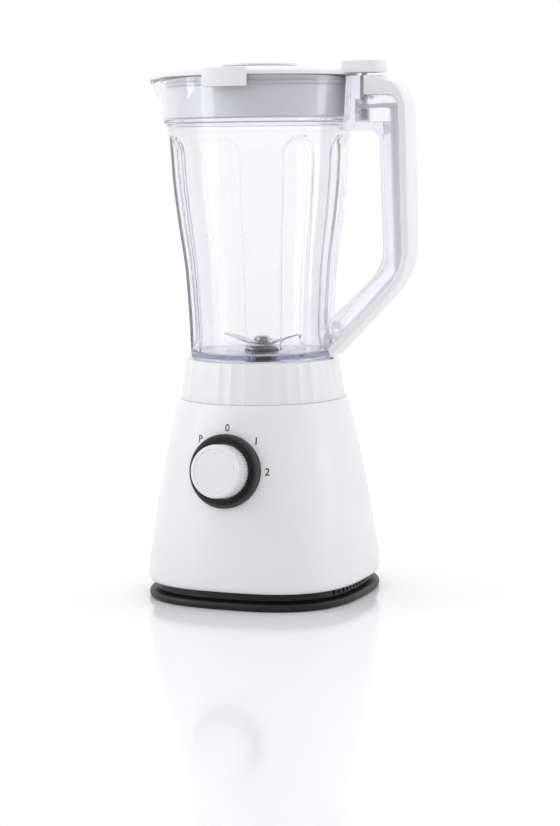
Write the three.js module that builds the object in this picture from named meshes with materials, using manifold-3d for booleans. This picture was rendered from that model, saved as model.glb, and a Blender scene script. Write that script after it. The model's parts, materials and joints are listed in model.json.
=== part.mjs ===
// Countertop blender: motor base, clear jug with its handle, blade unit and lid.
// Millimetres, +Z up. The origin is where the blade axis meets the table. The knob faces -Y,
// the handle points to +X and the spout to -X. The pieces are drawn with the jug and lid in place.
import * as THREE from "three";
import { mergeVertices } from "three/addons/utils/BufferGeometryUtils.js";
import Module from "manifold-3d";

const wasm = await Module();
wasm.setup();

// Driving dimensions
const gap = 0.3; // between pieces that touch
const floorZ = 0.5; // underside of the base plate, above the table by what the feet stand proud
const housingBottomZ = 13;
const housingHeight = 137;
const housingBottomRadius = 83.6; // from the axis to the middle of a side
const housingTopRadius = 65;
const housingBulge = 2; // how far the sides stand out from a straight taper
const housingEdge = 5; // rounding of the lower edge
const housingWall = 2.5;
const squareness = 2.8; // superellipse exponent at the housing's foot, 2 being a circle
const baseSegments = 36;
const lipInset = 0.6; // of the base plate's lip from the housing's widest ring
const lipHeight = 5.1;
const recessInset = 7.6; // of the recess band between the lip and the housing
const recessTopZ = 24;
const plateWall = 2.5;
const ventWidth = 2;
const ventPitch = 4.4; // degrees
const ventLean = 18; // degrees off upright
const ventsPerSide = 14; // on the left and right sides
const intakeSlots = 8;
const intakeInner = 16;
const intakeOuter = 34;
const footInset = 20; // of the feet from the recess wall, along X and Y
const footRadius = 6;
const footHeight = 1.2;
const screwInset = 30; // of the base screws from the recess wall, along X and Y
const postRadius = 5.5;
const postTopZ = 12;
const headSeatZ = 9;
const screwRadius = 1.75;
const screwHeadRadius = 3.8;
const collarHeight = 30.5;
const collarLedge = 2.3;
const collarShoulder = 4; // from the jug's foot out to the collar's top edge
const collarFacets = 36;
const wellRadius = 30;
const wellDepth = 15.5;
const mountBossRadius = 5;
const motorDrop = 38; // from the housing's top down to the stator
const shaftRadius = 4;
const bearingWall = 5;
const stackHeight = 40;
const statorWidth = 62;
const statorDepth = 56;
const statorBore = 27;
const coilOverhang = 7;
const armatureRadius = 20;
const armatureSlots = 12;
const slotDepth = 7;
const commutatorWall = 7;
const bracketThickness = 3;
const legRadius = 3;
const fanRadius = 32;
const fanBlades = 6;
const couplingRadius = 14.5;
const couplingTeeth = 6;
const toothDepth = 3;
const knobDrop = 47.7; // from the housing's top down to the knob's middle
const knobTilt = 8; // degrees above level
const knobRadius = 19.75;
const knobReach = 19.4;
const spindleRadius = 3.1;
const inletZ = 27;
const inletBore = 3.4;
const jugHeight = 210.4;
const jugWall = 2.4;
const jugFloor = 3;
const jugFootRadius = 54.5;
const jugFootHeight = 1.7;
const jugBeltHeight = 33.6; // of the upper band
const jugBeltStep = 2.2;
const jugRimRadius = 74.4;
const jugSegments = 60;
const skirtWall = 2.4;
const skirtRoom = 1.5; // between the jug's skirt and the well
const channelDepth = 3.5;
const channelAngles = [48, 132, -132, -48]; // degrees round from the front
const spoutReach = 17.1;
const spoutAngle = 20; // degrees to each side
const bushRadius = 8.7; // of the blade's bearing housing
const bladeShaftRadius = 3.2;
const bladeReach = 30;
const bladeWidth = 12;
const bladeThickness = 1.2;
const lidOverhang = 1.4; // of the lid past the jug's rim
const lidHeight = 8; // of the lid's middle above the jug's rim
const plugInset = 5.2; // of the lid's plug from the jug's rim
const plugDepth = 30;
const throatRadius = 24.8;
const tongueHeight = 10.4; // of the tongue's top above the jug's rim
const tongueThickness = 8.9;
const tongueWidth = 26;
const tongueReach = 27.6; // past the jug's rim
const tabWidth = 25; // degrees
const tabTurn = 4; // degrees from the front towards the handle
const handleWidth = 21;
const coverWidth = 24;
const handleWall = 2.5;
const fingerRoom = 25.1; // from the jug's rim to the grip
const gripLean = 2.9; // of the grip's lower end, outwards
const gripDepth = 14.6;
const coverDepth = 6.3;
const bendHeight = 70; // of the handle's lower bend above the collar
const pinInset = 10.1; // of the interlock pin from the jug's rim
const pinRadius = 2;
const springRadius = 3.75;
const wireRadius = 0.4;
const springTurns = 5;

const degrees = Math.PI / 180;
const housingTopZ = housingBottomZ + housingHeight;
const housingSpan = housingHeight - housingEdge;
const housingWidestZ = housingBottomZ + housingEdge;
const lipRadius = housingBottomRadius - lipInset;
const lipTopZ = floorZ + lipHeight;
const recessRadius = housingBottomRadius - recessInset;
const footSpread = recessRadius - footInset;
const screwSpread = recessRadius - screwInset;
const collarBottomZ = housingTopZ + gap;
const collarBottomRadius = housingTopRadius - collarLedge;
const collarTopZ = housingTopZ + collarHeight;
const collarTopRadius = jugFootRadius + collarShoulder;
const wellFloorZ = collarTopZ - wellDepth;
const wellBottomZ = wellFloorZ - plateWall;
const bracketRadius = collarBottomRadius - 12.7;
const mountSpread = (bracketRadius - mountBossRadius - 1) / Math.SQRT2;
const bearingRadius = shaftRadius + bearingWall;
const statorTopZ = housingTopZ - motorDrop;
const statorBottomZ = statorTopZ - stackHeight;
const upperBracketZ = statorTopZ + 14.5;
const lowerBracketZ = statorBottomZ - 23;
const brushZ = lowerBracketZ + bracketThickness + 8;
const commutatorRadius = shaftRadius + commutatorWall;
const fanTopZ = lowerBracketZ - 4;
const bossBottomZ = upperBracketZ + bracketThickness + 4.5;
const cupBottomZ = wellFloorZ + 4.5;
const cupTopZ = cupBottomZ + 8;
const socketZ = cupBottomZ + 2.5;
const starRadius = couplingRadius - toothDepth;
const knobZ = housingTopZ - knobDrop;
const bezelHole = knobRadius + 3.95;
const bezelRadius = knobRadius + 7.75;
const jugFootZ = collarTopZ + gap;
const jugRimZ = jugFootZ + jugHeight;
const jugBeltZ = jugRimZ - jugBeltHeight;
const jugBeltRadius = jugRimRadius - jugBeltStep;
const jugUndersideZ = jugFootZ + jugFootHeight;
const jugFloorZ = jugUndersideZ + jugFloor;
const skirtRadius = wellRadius - skirtRoom;
const skirtZ = wellFloorZ + 6;
const bushHole = bushRadius + gap;
const bushFlangeRadius = bushHole + 5;
const bushBottomZ = cupTopZ + 0.9;
const bearingFlangeZ = jugFloorZ + 1.4;
const bladeZ = bearingFlangeZ + 2.5;
const lidRimZ = jugRimZ + gap;
const lidTopZ = jugRimZ + lidHeight;
const tongueTopZ = jugRimZ + tongueHeight;
const gripX = jugRimRadius + fingerRoom; // the grip's inner face at its top
const gripBottomX = gripX + gripLean;
const gripBottomZ = collarTopZ + bendHeight;
const armBottomZ = jugRimZ - 40.5;
const armTopZ = jugRimZ - 15.2;
const blockX = jugRimRadius + 13.3; // outer face of the clear block that holds the pin
const pinX = jugRimRadius + pinInset;
const pinTopZ = tongueTopZ - tongueThickness - gap;
const springBottomZ = armBottomZ + 6.3;
const legZ = springBottomZ + 9.5; // underside of the slider's upper leg, which the spring pushes up
const springTopZ = legZ - gap;
const buttonX = jugFootRadius + 1.9; // middle of the interlock's flat foot, just outside the jug
const buttonTopZ = collarTopZ + 0.4;

const paint = (color, roughness, metalness = 0, opacity = 1) =>
  new THREE.MeshStandardMaterial({ color, roughness, metalness, opacity, transparent: opacity < 1 });
const whitePlastic = paint("#ececee", 0.35);
const darkPlastic = paint("#37373a", 0.5);
const blackPlastic = paint("#1c1c1e", 0.55);
const clearPlastic = paint("#e9ecf2", 0.08, 0, 0.3);
const rubber = paint("#222224", 0.85);
const silicone = paint("#d8d8dc", 0.6);
const brightSteel = paint("#c9ccd0", 0.25, 1);
const plainSteel = paint("#9da0a4", 0.45, 1);
const copper = paint("#b5653a", 0.4, 1);
const carbon = paint("#2b2b2d", 0.8);
const bakelite = paint("#5a3b28", 0.6);

// Solids

function toSolid(geometry) {
  const loose = geometry.index ? geometry.toNonIndexed() : geometry;
  const bare = new THREE.BufferGeometry();
  bare.setAttribute("position", loose.getAttribute("position"));
  const merged = mergeVertices(bare, 1e-4);
  const corners = [];
  for (let i = 0; i < merged.index.count; i += 3) {
    const [a, b, c] = [0, 1, 2].map((k) => merged.index.getX(i + k));
    if (a !== b && b !== c && c !== a) corners.push(a, b, c);
  }
  const build = (triangles) =>
    new wasm.Manifold(
      new wasm.Mesh({
        numProp: 3,
        vertProperties: new Float32Array(merged.attributes.position.array),
        triVerts: new Uint32Array(triangles),
      }),
    );
  const solid = build(corners);
  return solid.volume() > 0 ? solid : build(corners.reverse());
}

function toMesh(name, solid, material) {
  const { vertProperties, triVerts } = solid.getMesh();
  const geometry = new THREE.BufferGeometry();
  geometry.setAttribute("position", new THREE.BufferAttribute(vertProperties, 3));
  geometry.setIndex(new THREE.BufferAttribute(triVerts, 1));
  geometry.computeVertexNormals();
  const mesh = new THREE.Mesh(geometry, material);
  mesh.name = name;
  return mesh;
}

const join = (first, ...others) => others.reduce((whole, other) => whole.add(other), first);
const cut = (first, ...others) => others.reduce((whole, other) => whole.subtract(other), first);

// A profile of [radius, height] points, turned about the Z axis. Its first segment faces -Y.
function lathe(profile, segments) {
  const points = profile.map(([r, z]) => new THREE.Vector2(r, z));
  return new THREE.LatheGeometry(points, segments).rotateX(Math.PI / 2);
}

const closed = (profile) => [...profile, profile[0]];
const turned = (profile, segments = 12) => toSolid(lathe(profile, segments));
const ring = (inner, outer, z0, z1, segments = 16) =>
  turned(closed([[inner, z0], [outer, z0], [outer, z1], [inner, z1]]), segments);
const rod = (radius, z0, z1, segments = 12) =>
  turned([[0, z0], [radius, z0], [radius, z1], [0, z1]], segments);
const at = (solid, x, y, z = 0) => solid.translate([x, y, z]);

function box(x0, x1, y0, y1, z0, z1) {
  const block = new THREE.BoxGeometry(x1 - x0, y1 - y0, z1 - z0);
  return toSolid(block.translate((x0 + x1) / 2, (y0 + y1) / 2, (z0 + z1) / 2));
}

// A closed outline through [x, y, radius] corners, each rounded by its radius.
function outline(corners) {
  const shape = new THREE.Shape();
  corners.forEach(([x, y, radius = 0], i) => {
    const towards = ([u, v]) => {
      const reach = radius / Math.hypot(u - x, v - y);
      return [x + (u - x) * reach, y + (v - y) * reach];
    };
    const before = towards(corners.at(i - 1));
    const after = towards(corners[(i + 1) % corners.length]);
    if (i) shape.lineTo(...before);
    else shape.moveTo(...before);
    if (radius) shape.quadraticCurveTo(x, y, ...after);
  });
  shape.closePath();
  return shape;
}

const extruded = (shape, depth, curveSegments = 4) =>
  new THREE.ExtrudeGeometry(shape, { depth, bevelEnabled: false, curveSegments });
// An outline in X and Z, as thick as width along Y, and one in X and Y between two heights.
const upright = (corners, width) =>
  toSolid(extruded(outline(corners), width).rotateX(Math.PI / 2).translate(0, width / 2, 0));
const flat = (shape, z0, z1, curveSegments) =>
  toSolid(extruded(shape, z1 - z0, curveSegments).translate(0, 0, z0));

// Part of a ring between two angles, in degrees round from +X.
function sector(inner, outer, from, to, z0, z1, curveSegments = 6) {
  const shape = new THREE.Shape();
  shape.absarc(0, 0, outer, from * degrees, to * degrees, false);
  shape.absarc(0, 0, inner, to * degrees, from * degrees, true);
  shape.closePath();
  return flat(shape, z0, z1, curveSegments);
}

const corners = [[1, -1], [1, 1], [-1, 1], [-1, -1]];
const numbered = (name, i) => `${name}_${i + 1}`;

// Moves each point of a geometry out or in: radiusAt gets its radius, its angle round from the
// front and its height.
function reshape(geometry, radiusAt) {
  const points = geometry.getAttribute("position");
  for (let i = 0; i < points.count; i++) {
    const [x, y, z] = [points.getX(i), points.getY(i), points.getZ(i)];
    const radius = Math.hypot(x, y);
    if (radius < 1e-6) continue;
    const scale = radiusAt(radius, Math.atan2(x, -y) / degrees, z) / radius;
    points.setXY(i, x * scale, y * scale);
  }
  return geometry;
}

// The base's plan goes from a rounded square at its foot to a circle at the housing's top.
function squared(radius, angle, z) {
  const rise = THREE.MathUtils.clamp((z - housingWidestZ) / housingSpan, 0, 1);
  const power = 2 + (squareness - 2) * (1 - rise);
  const [c, s] = [Math.cos(angle * degrees), Math.sin(angle * degrees)].map(Math.abs);
  return radius * (c ** power + s ** power) ** (-1 / power);
}

function housingRadius(z) {
  const rise = THREE.MathUtils.clamp((z - housingWidestZ) / housingSpan, 0, 1);
  const taper = housingBottomRadius + (housingTopRadius - housingBottomRadius) * rise;
  return taper + housingBulge * 4 * rise * (1 - rise);
}

// The housing as if it were solid, grown by a margin.
function housingVolume(margin) {
  const heights = [0, 0.33, 0.67, 1].map((rise) => housingWidestZ + rise * housingSpan);
  const profile = [
    [0, housingBottomZ - margin],
    [housingBottomRadius - housingEdge * 0.7 + margin, housingBottomZ - margin],
    [housingBottomRadius - housingEdge * 0.2 + margin, housingBottomZ + housingEdge * 0.4],
    ...heights.map((z) => [housingRadius(z) + margin, z]),
    [0, housingTopZ],
  ];
  return reshape(lathe(profile, baseSegments), squared);
}

function housingCavity() {
  const heights = [0.33, 0.67].map((rise) => housingWidestZ + rise * housingSpan);
  const topZ = housingTopZ - housingWall;
  const profile = [
    [0, housingBottomZ - 1],
    [housingBottomRadius - housingEdge * 0.7 - housingWall, housingBottomZ - 1],
    [housingBottomRadius - housingWall, housingWidestZ],
    ...heights.map((z) => [housingRadius(z) - housingWall, z]),
    [housingRadius(topZ) - housingWall, topZ],
    [0, topZ],
  ];
  return reshape(lathe(profile, baseSegments), squared);
}

// The two places on the housing where a piece stands on its slope: their own Z axis points out.
function panelGroup(z, side) {
  const group = new THREE.Group();
  group.position.set(0, side * housingRadius(z), z);
  group.rotation.x = -side * (90 - knobTilt) * degrees;
  group.updateMatrixWorld(true);
  return group;
}

const knobPanel = panelGroup(knobZ, -1);
const inletPanel = panelGroup(inletZ, 1);
const onPanel = (solid, panel) => solid.transform(panel.matrixWorld.elements);
const offPanel = (solid, panel) => solid.transform(panel.matrixWorld.clone().invert().elements);

// Motor base

function housing() {
  const opening = rod(bracketRadius + 2, housingTopZ - 10, housingTopZ + 10, 24);
  const inside = toSolid(housingVolume(-1));
  const shell = cut(toSolid(housingVolume(0)), toSolid(housingCavity()), opening);
  const bosses = corners.map(([sx, sy]) => {
    const [x, y] = [sx * screwSpread, sy * screwSpread];
    const rib = box(0, housingBottomRadius, -housingWall / 2, housingWall / 2, recessTopZ + 1, 45);
    const turnedRib = at(rib.rotate([0, 0, Math.atan2(sy, sx) / degrees]), x, y);
    const boss = at(rod(postRadius - 1, postTopZ + gap, 45, 8), x, y);
    return cut(join(boss, turnedRib.intersect(inside)), at(rod(screwRadius + gap, 0, 32, 8), x, y));
  });
  return cut(
    join(shell, ...bosses),
    onPanel(rod(bezelHole, -20, 20, 30), knobPanel),
    onPanel(rod(inletBore + 2.1, -20, 20), inletPanel),
  );
}

function collar() {
  const wall = plateWall;
  const deckZ = collarTopZ - wall;
  const shell = turned(
    closed([
      [collarBottomRadius - wall, collarBottomZ],
      [collarBottomRadius, collarBottomZ],
      [collarTopRadius, collarTopZ - 1],
      [collarTopRadius - 1, collarTopZ],
      [wellRadius, collarTopZ],
      [wellRadius, wellFloorZ],
      [shaftRadius + 1, wellFloorZ],
      [shaftRadius + 1, wellBottomZ],
      [wellRadius + wall, wellBottomZ],
      [wellRadius + wall, deckZ],
      [collarTopRadius - wall, deckZ],
    ]),
    collarFacets,
  );
  const bosses = corners.map(([sx, sy]) =>
    at(ring(screwRadius + gap, mountBossRadius, bossBottomZ, deckZ + 1, 10), sx * mountSpread, sy * mountSpread),
  );
  const hanger = box(buttonX - 14.9, buttonX - 12.7, -11, 11, wellFloorZ - 13, deckZ + 1);
  const slot = box(buttonX - 1, buttonX + 1, -3.3, 3.3, wellFloorZ - 5, collarTopZ + 1);
  return cut(join(shell, ...bosses, hanger), slot);
}

function basePlate() {
  const tray = toSolid(
    reshape(
      lathe(
        [
          [0, floorZ],
          [lipRadius - 2.4, floorZ],
          [lipRadius, floorZ + 1.8],
          [lipRadius - 0.6, lipTopZ],
          [recessRadius, lipTopZ + 1.2],
          [recessRadius, recessTopZ],
          [recessRadius - plateWall, recessTopZ],
          [recessRadius - plateWall, floorZ + plateWall],
          [0, floorZ + plateWall],
        ],
        baseSegments,
      ),
      squared,
    ),
  );
  const posts = corners.map(([sx, sy]) =>
    at(rod(postRadius, floorZ + 1, postTopZ, 10), sx * screwSpread, sy * screwSpread),
  );
  const holes = corners.flatMap(([sx, sy]) => [
    at(rod(screwHeadRadius + gap, 0, headSeatZ, 10), sx * screwSpread, sy * screwSpread),
    at(rod(screwRadius + gap, 0, postTopZ + 1, 8), sx * screwSpread, sy * screwSpread),
    at(rod(footRadius + gap, 0, floorZ + 1), sx * footSpread, sy * footSpread),
  ]);
  const ventZ = lipTopZ + 4.6;
  const vents = [0, 180].flatMap((side) =>
    Array.from({ length: ventsPerSide }, (_, i) => {
      const turn = side + (i - (ventsPerSide - 1) / 2) * ventPitch;
      const slot = box(recessRadius - 16, lipRadius * 1.2, -ventWidth / 2, ventWidth / 2, -2.6, 2.6);
      return slot.rotate([ventLean, 0, turn]).translate([0, 0, ventZ]);
    }),
  );
  const intake = Array.from({ length: intakeSlots }, (_, i) => {
    const slot = box(intakeInner, intakeOuter, -1.5, 1.5, 0, 5);
    return slot.rotate([0, 0, (i * 360) / intakeSlots]);
  });
  return cut(join(tray, ...posts), ...holes, ...vents, ...intake);
}

const foot = () => rod(footRadius, 0, footHeight);

function baseScrew() {
  return turned([
    [0, headSeatZ - 3],
    [screwHeadRadius, headSeatZ - 3],
    [screwHeadRadius, headSeatZ - gap],
    [screwRadius, headSeatZ - gap],
    [screwRadius, 30],
    [0, 31.5],
  ], 10);
}

function cordInlet() {
  return turned(
    closed([[inletBore, -7], [inletBore + 1.8, -7], [inletBore + 1.8, 0.6], [inletBore + 4.6, 0.6],
      [inletBore + 4.6, 2.4], [inletBore + 2.6, 4.2], [inletBore, 4.2]]),
    16,
  );
}

// Motor

const legs = (z0, z1) =>
  corners.map(([sx, sy]) =>
    at(rod(legRadius, z0, z1, 6), sx * (statorWidth / 2 - 5.5), sy * (statorDepth / 2 - 5.5)),
  );

function upperBracket() {
  const topZ = upperBracketZ + bracketThickness;
  const disc = ring(bearingRadius + gap, bracketRadius, upperBracketZ, topZ, 18);
  const cup = ring(bearingRadius + gap, bearingRadius + 3, upperBracketZ - 2, topZ + 2);
  const holes = corners.map(([sx, sy]) =>
    at(rod(screwRadius + gap, upperBracketZ - 1, topZ + 1, 8), sx * mountSpread, sy * mountSpread),
  );
  return cut(join(disc, cup, ...legs(statorTopZ + gap, upperBracketZ + 1)), ...holes);
}

function lowerBracket() {
  const topZ = lowerBracketZ + bracketThickness;
  const disc = ring(bearingRadius + gap, bracketRadius - 14, lowerBracketZ, topZ, 20);
  const cup = ring(bearingRadius + gap, bearingRadius + 3, lowerBracketZ - 1, topZ + 1);
  return join(disc, cup, ...legs(lowerBracketZ + 1, statorBottomZ - gap));
}

function statorCore() {
  const [x, y] = [statorWidth / 2, statorDepth / 2];
  const stack = flat(
    outline([[-x, -y, 6], [x, -y, 6], [x, y, 6], [-x, y, 6]]), statorBottomZ, statorTopZ, 2,
  );
  const bore = rod(statorBore, statorBottomZ - 1, statorTopZ + 1, 24);
  const poles = [90, 270].map((turn) =>
    sector(armatureRadius + 0.8, statorBore + 0.5, turn - 24, turn + 24, statorBottomZ, statorTopZ),
  );
  return join(cut(stack, bore), ...poles);
}

const fieldCoil = (side) => {
  const turn = side > 0 ? 0 : 180;
  return sector(armatureRadius + 1.5, statorBore - 0.8, turn - 60, turn + 60,
    statorBottomZ - coilOverhang, statorTopZ + coilOverhang);
};

const bearing = (z) => ring(shaftRadius + gap, bearingRadius, z, z + 5);
const damper = () =>
  ring(screwRadius + gap, 6, upperBracketZ + bracketThickness + gap, bossBottomZ - gap, 8);

function motorScrew() {
  return turned([
    [0, upperBracketZ - 3],
    [4, upperBracketZ - 3],
    [4, upperBracketZ - gap],
    [screwRadius, upperBracketZ - gap],
    [screwRadius, bossBottomZ + 14],
    [0, bossBottomZ + 15],
  ], 8);
}

function brushHolder() {
  const tube = cut(box(commutatorRadius + 4, 36, -5, 5, brushZ - 4.5, brushZ + 4.5),
    box(10, 40, -3.2, 3.2, brushZ - 3.2, brushZ + 3.2));
  return join(tube, box(22, 34, -5, 5, lowerBracketZ + bracketThickness + gap, brushZ - 4));
}

const carbonBrush = () =>
  box(commutatorRadius + 0.4, 26, -2.9, 2.9, brushZ - 2.9, brushZ + 2.9);

function armatureCore() {
  const shape = new THREE.Shape();
  for (let i = 0; i < armatureSlots; i++) {
    const corner = (radius, part) => {
      const turn = ((i + part) / armatureSlots) * 2 * Math.PI;
      return [radius * Math.cos(turn), radius * Math.sin(turn)];
    };
    if (i) shape.lineTo(...corner(armatureRadius, 0.08));
    else shape.moveTo(...corner(armatureRadius, 0.08));
    shape.lineTo(...corner(armatureRadius, 0.46));
    shape.lineTo(...corner(armatureRadius, 0.84));
    shape.lineTo(...corner(armatureRadius - slotDepth, 0.84));
    shape.lineTo(...corner(armatureRadius - slotDepth, 1.08));
  }
  shape.closePath();
  const bore = rod(shaftRadius + gap, statorBottomZ - 1, statorTopZ + 1);
  return cut(flat(shape, statorBottomZ, statorTopZ), bore);
}

const commutator = () => ring(shaftRadius + gap, commutatorRadius, brushZ - 6, brushZ + 6, 18);
const motorShaft = () => rod(shaftRadius, fanTopZ - 15, socketZ - 0.8, 14);

function coolingFan() {
  const hub = ring(shaftRadius + gap, shaftRadius + 6, fanTopZ - 12, fanTopZ);
  const disc = ring(shaftRadius + gap, fanRadius, fanTopZ - 2, fanTopZ, 20);
  const blades = Array.from({ length: fanBlades }, (_, i) =>
    box(shaftRadius + 5, fanRadius - 1, -0.8, 0.8, fanTopZ - 12, fanTopZ - 1.5).rotate([0, 0, (i * 360) / fanBlades]),
  );
  return join(hub, disc, ...blades);
}

// A star with rounded-off teeth, for the two halves of the drive coupling.
function star(radius, z0, z1) {
  const count = couplingTeeth * 4;
  const corner = (i) => {
    const turn = ((i + 0.5) / count) * 2 * Math.PI;
    const reach = i % 4 < 2 ? radius : radius - toothDepth;
    return [reach * Math.cos(turn), reach * Math.sin(turn)];
  };
  return flat(outline(Array.from({ length: count }, (_, i) => corner(i))), z0, z1);
}

function driveCoupling() {
  const cup = rod(couplingRadius, cupBottomZ, cupTopZ, 24);
  return cut(cup, star(starRadius, socketZ, cupTopZ + 1),
    rod(shaftRadius + gap, cupBottomZ - 1, socketZ + 1));
}

const dripSeal = () => ring(shaftRadius + 1, shaftRadius + 5, wellFloorZ + gap, cupBottomZ - 0.8);

// Switch and knob, drawn on the sloping front with Z pointing out

function knobBezel() {
  const dish = turned(
    closed([
      [spindleRadius + 1.9, -1.2],
      [bezelHole - gap, -1.2],
      [bezelHole - gap, -7],
      [bezelRadius, -7],
      [bezelRadius, 2.6],
      [bezelRadius - 1.5, 3.8],
      [knobRadius + 1.75, 0.8],
      [spindleRadius + 1.9, 0.8],
    ]),
    30,
  );
  const around = cut(offPanel(toSolid(housingVolume(gap)), knobPanel),
    rod(bezelHole - gap, -20, 20, 30));
  return cut(dish, around);
}

function knob() {
  const body = turned([
    [0, knobReach],
    [knobRadius - 1.5, knobReach],
    [knobRadius, knobReach - 1.4],
    [knobRadius, 1.8],
    [knobRadius - 2.2, 1.8],
    [knobRadius - 2.2, 16],
    [spindleRadius + 2.6, 16],
    [spindleRadius + 2.6, 4],
    [spindleRadius + gap, 4],
    [spindleRadius + gap, 15],
    [0, 15],
  ], 28);
  return cut(body, at(rod(1.1, knobReach - 0.6, knobReach + 1, 8), 0, knobRadius - 4.6));
}

function knobSpindle() {
  const flatSide = box(spindleRadius - 1, 10, -5, 5, 5, 20);
  return cut(rod(spindleRadius, -14, 14.5), flatSide);
}

function switchBody() {
  const block = box(-15, 15, -15, 15, -24, -6);
  const ears = [-1, 1].map((side) => at(rod(3, -7, -1.2 - gap, 10), side * 12, 0));
  return cut(join(block, ...ears), rod(spindleRadius + gap, -15, 0));
}

// Jug

// The jug's side below its upper band, as shares of its height and of its widening.
const jugFlare = [[0.092, 0.032], [0.223, 0.097], [0.405, 0.245], [0.581, 0.516], [0.758, 0.742],
  [0.906, 0.852], [0.94, 0.89], [1, 1]];
const jugSideHeight = jugBeltZ - 1 - jugFootZ;
const channelTopZ = jugFootZ + 0.94 * jugSideHeight;
const jugOutline = [
  [jugFootRadius - 0.7, jugFootZ],
  [jugFootRadius, jugFootZ + 1.1],
  ...jugFlare.map(([height, widening]) => [
    jugFootRadius + (jugBeltRadius - jugBeltStep - jugFootRadius) * widening,
    jugFootZ + jugSideHeight * height,
  ]),
  [jugBeltRadius, jugBeltZ],
  [jugRimRadius, jugRimZ],
];

// How far the spout stands out from the round rim, at an angle and a height.
function spoutAt(angle, z, reach) {
  const rise = THREE.MathUtils.clamp((z - jugBeltZ) / (jugRimZ - jugBeltZ), 0, 1);
  const side = Math.max(0, 1 - Math.abs(angle + 90) / spoutAngle);
  return reach * rise * side ** 1.5;
}

function jugShape(radius, angle, z) {
  if (radius < jugFootRadius - 9) return radius;
  const across = Math.min(...channelAngles.map((a) => Math.abs(angle - a)));
  const inChannel = THREE.MathUtils.clamp((11.9 - across) / 5, 0, 1);
  const up = THREE.MathUtils.smoothstep(z, jugFloorZ + 1, jugFloorZ + 11.3);
  const down = 1 - THREE.MathUtils.smoothstep(z, channelTopZ - 7, channelTopZ - 0.5);
  const pressed = channelDepth * inChannel * up * Math.min(1, down * 1.5);
  return radius - pressed + spoutAt(angle, z, spoutReach);
}

function jug() {
  const inner = jugOutline
    .slice(2)
    .map(([r, z]) => [r - jugWall, z > jugBeltZ - 2 && z < jugRimZ ? z + 1.9 : z]);
  const floorEdge = jugFootRadius - jugWall;
  const skirt = [
    [skirtRadius - skirtWall, jugUndersideZ],
    [skirtRadius - skirtWall, skirtZ],
    [skirtRadius, skirtZ],
    [skirtRadius, jugUndersideZ],
  ];
  const profile = closed([
    ...jugOutline,
    ...inner.reverse(),
    [floorEdge - 3, jugFloorZ],
    [bushHole, jugFloorZ],
    [bushHole, jugUndersideZ],
    ...skirt,
    [floorEdge - 0.9, jugUndersideZ],
    [floorEdge - 0.9, jugFootZ],
  ]);
  return toSolid(reshape(lathe(profile, jugSegments), jugShape));
}

// The jug without its channels and spout, grown by the gap, to shape what stands against it.
function jugVolume() {
  const grown = jugOutline.map(([r, z]) => [r + gap, z]);
  return turned([[0, collarTopZ - 5], [jugFootRadius + gap, collarTopZ - 5], ...grown.slice(1),
    [jugRimRadius + gap, jugRimZ + 5], [0, jugRimZ + 5]], jugSegments);
}

function bearingHousing() {
  return turned(
    closed([
      [bladeShaftRadius + gap, bushBottomZ],
      [bushRadius, bushBottomZ],
      [bushRadius, bearingFlangeZ],
      [bushFlangeRadius, bearingFlangeZ],
      [bushFlangeRadius - 1.4, bearingFlangeZ + 2],
      [bladeShaftRadius + gap, bearingFlangeZ + 2],
    ]),
    18,
  );
}

const bladeSeal = () =>
  ring(bushHole + gap, bushFlangeRadius - 0.5, jugFloorZ + gap, bearingFlangeZ - gap, 18);
const bladeLocknut = () =>
  cut(rod(bushFlangeRadius, bushBottomZ, jugUndersideZ - gap, 6),
    rod(bushHole, bushBottomZ - 1, jugUndersideZ, 18));
const bladeShaft = () => rod(bladeShaftRadius, socketZ + 1.4, bladeZ + 6);

// A strip bent up at both ends, cut to points that trail the turn.
function blade(rise, z) {
  const hub = 9;
  const t = bladeThickness;
  const side = upright(
    [[-bladeReach, z + rise], [-hub, z], [hub, z], [bladeReach, z + rise],
      [bladeReach, z + rise + t], [hub, z + t], [-hub, z + t], [-bladeReach, z + rise + t]],
    bladeWidth,
  );
  const half = bladeWidth / 2;
  const plan = flat(
    outline([[-bladeReach, -half], [-hub, -half, 2], [bladeReach - 8, -half, 3],
      [bladeReach, half], [hub, half, 2], [8 - bladeReach, half, 3]]),
    z - 5, z + rise + 5, 2,
  );
  return cut(side.intersect(plan), rod(bladeShaftRadius + gap, z - 2, z + 4));
}

function bladeCapNut() {
  const hexagon = turned([[0, bladeZ + 3], [6.4, bladeZ + 3], [6.4, bladeZ + 6],
    [4.6, bladeZ + 7.4], [0, bladeZ + 7.4]], 6);
  return cut(hexagon, rod(bladeShaftRadius + gap, bladeZ + 2, bladeZ + 6.3));
}

const jugCoupling = () =>
  cut(star(starRadius - 0.5, socketZ + 0.8, cupTopZ - 0.3),
    rod(bladeShaftRadius + gap, socketZ, cupTopZ + 1));

// Handle, drawn in X and Z

const handleFootZ = collarTopZ + 6.5;
const clearEdgeX = gripX + gripDepth; // between the clear frame and the white cover
const coverEdgeX = clearEdgeX + coverDepth;

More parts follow.
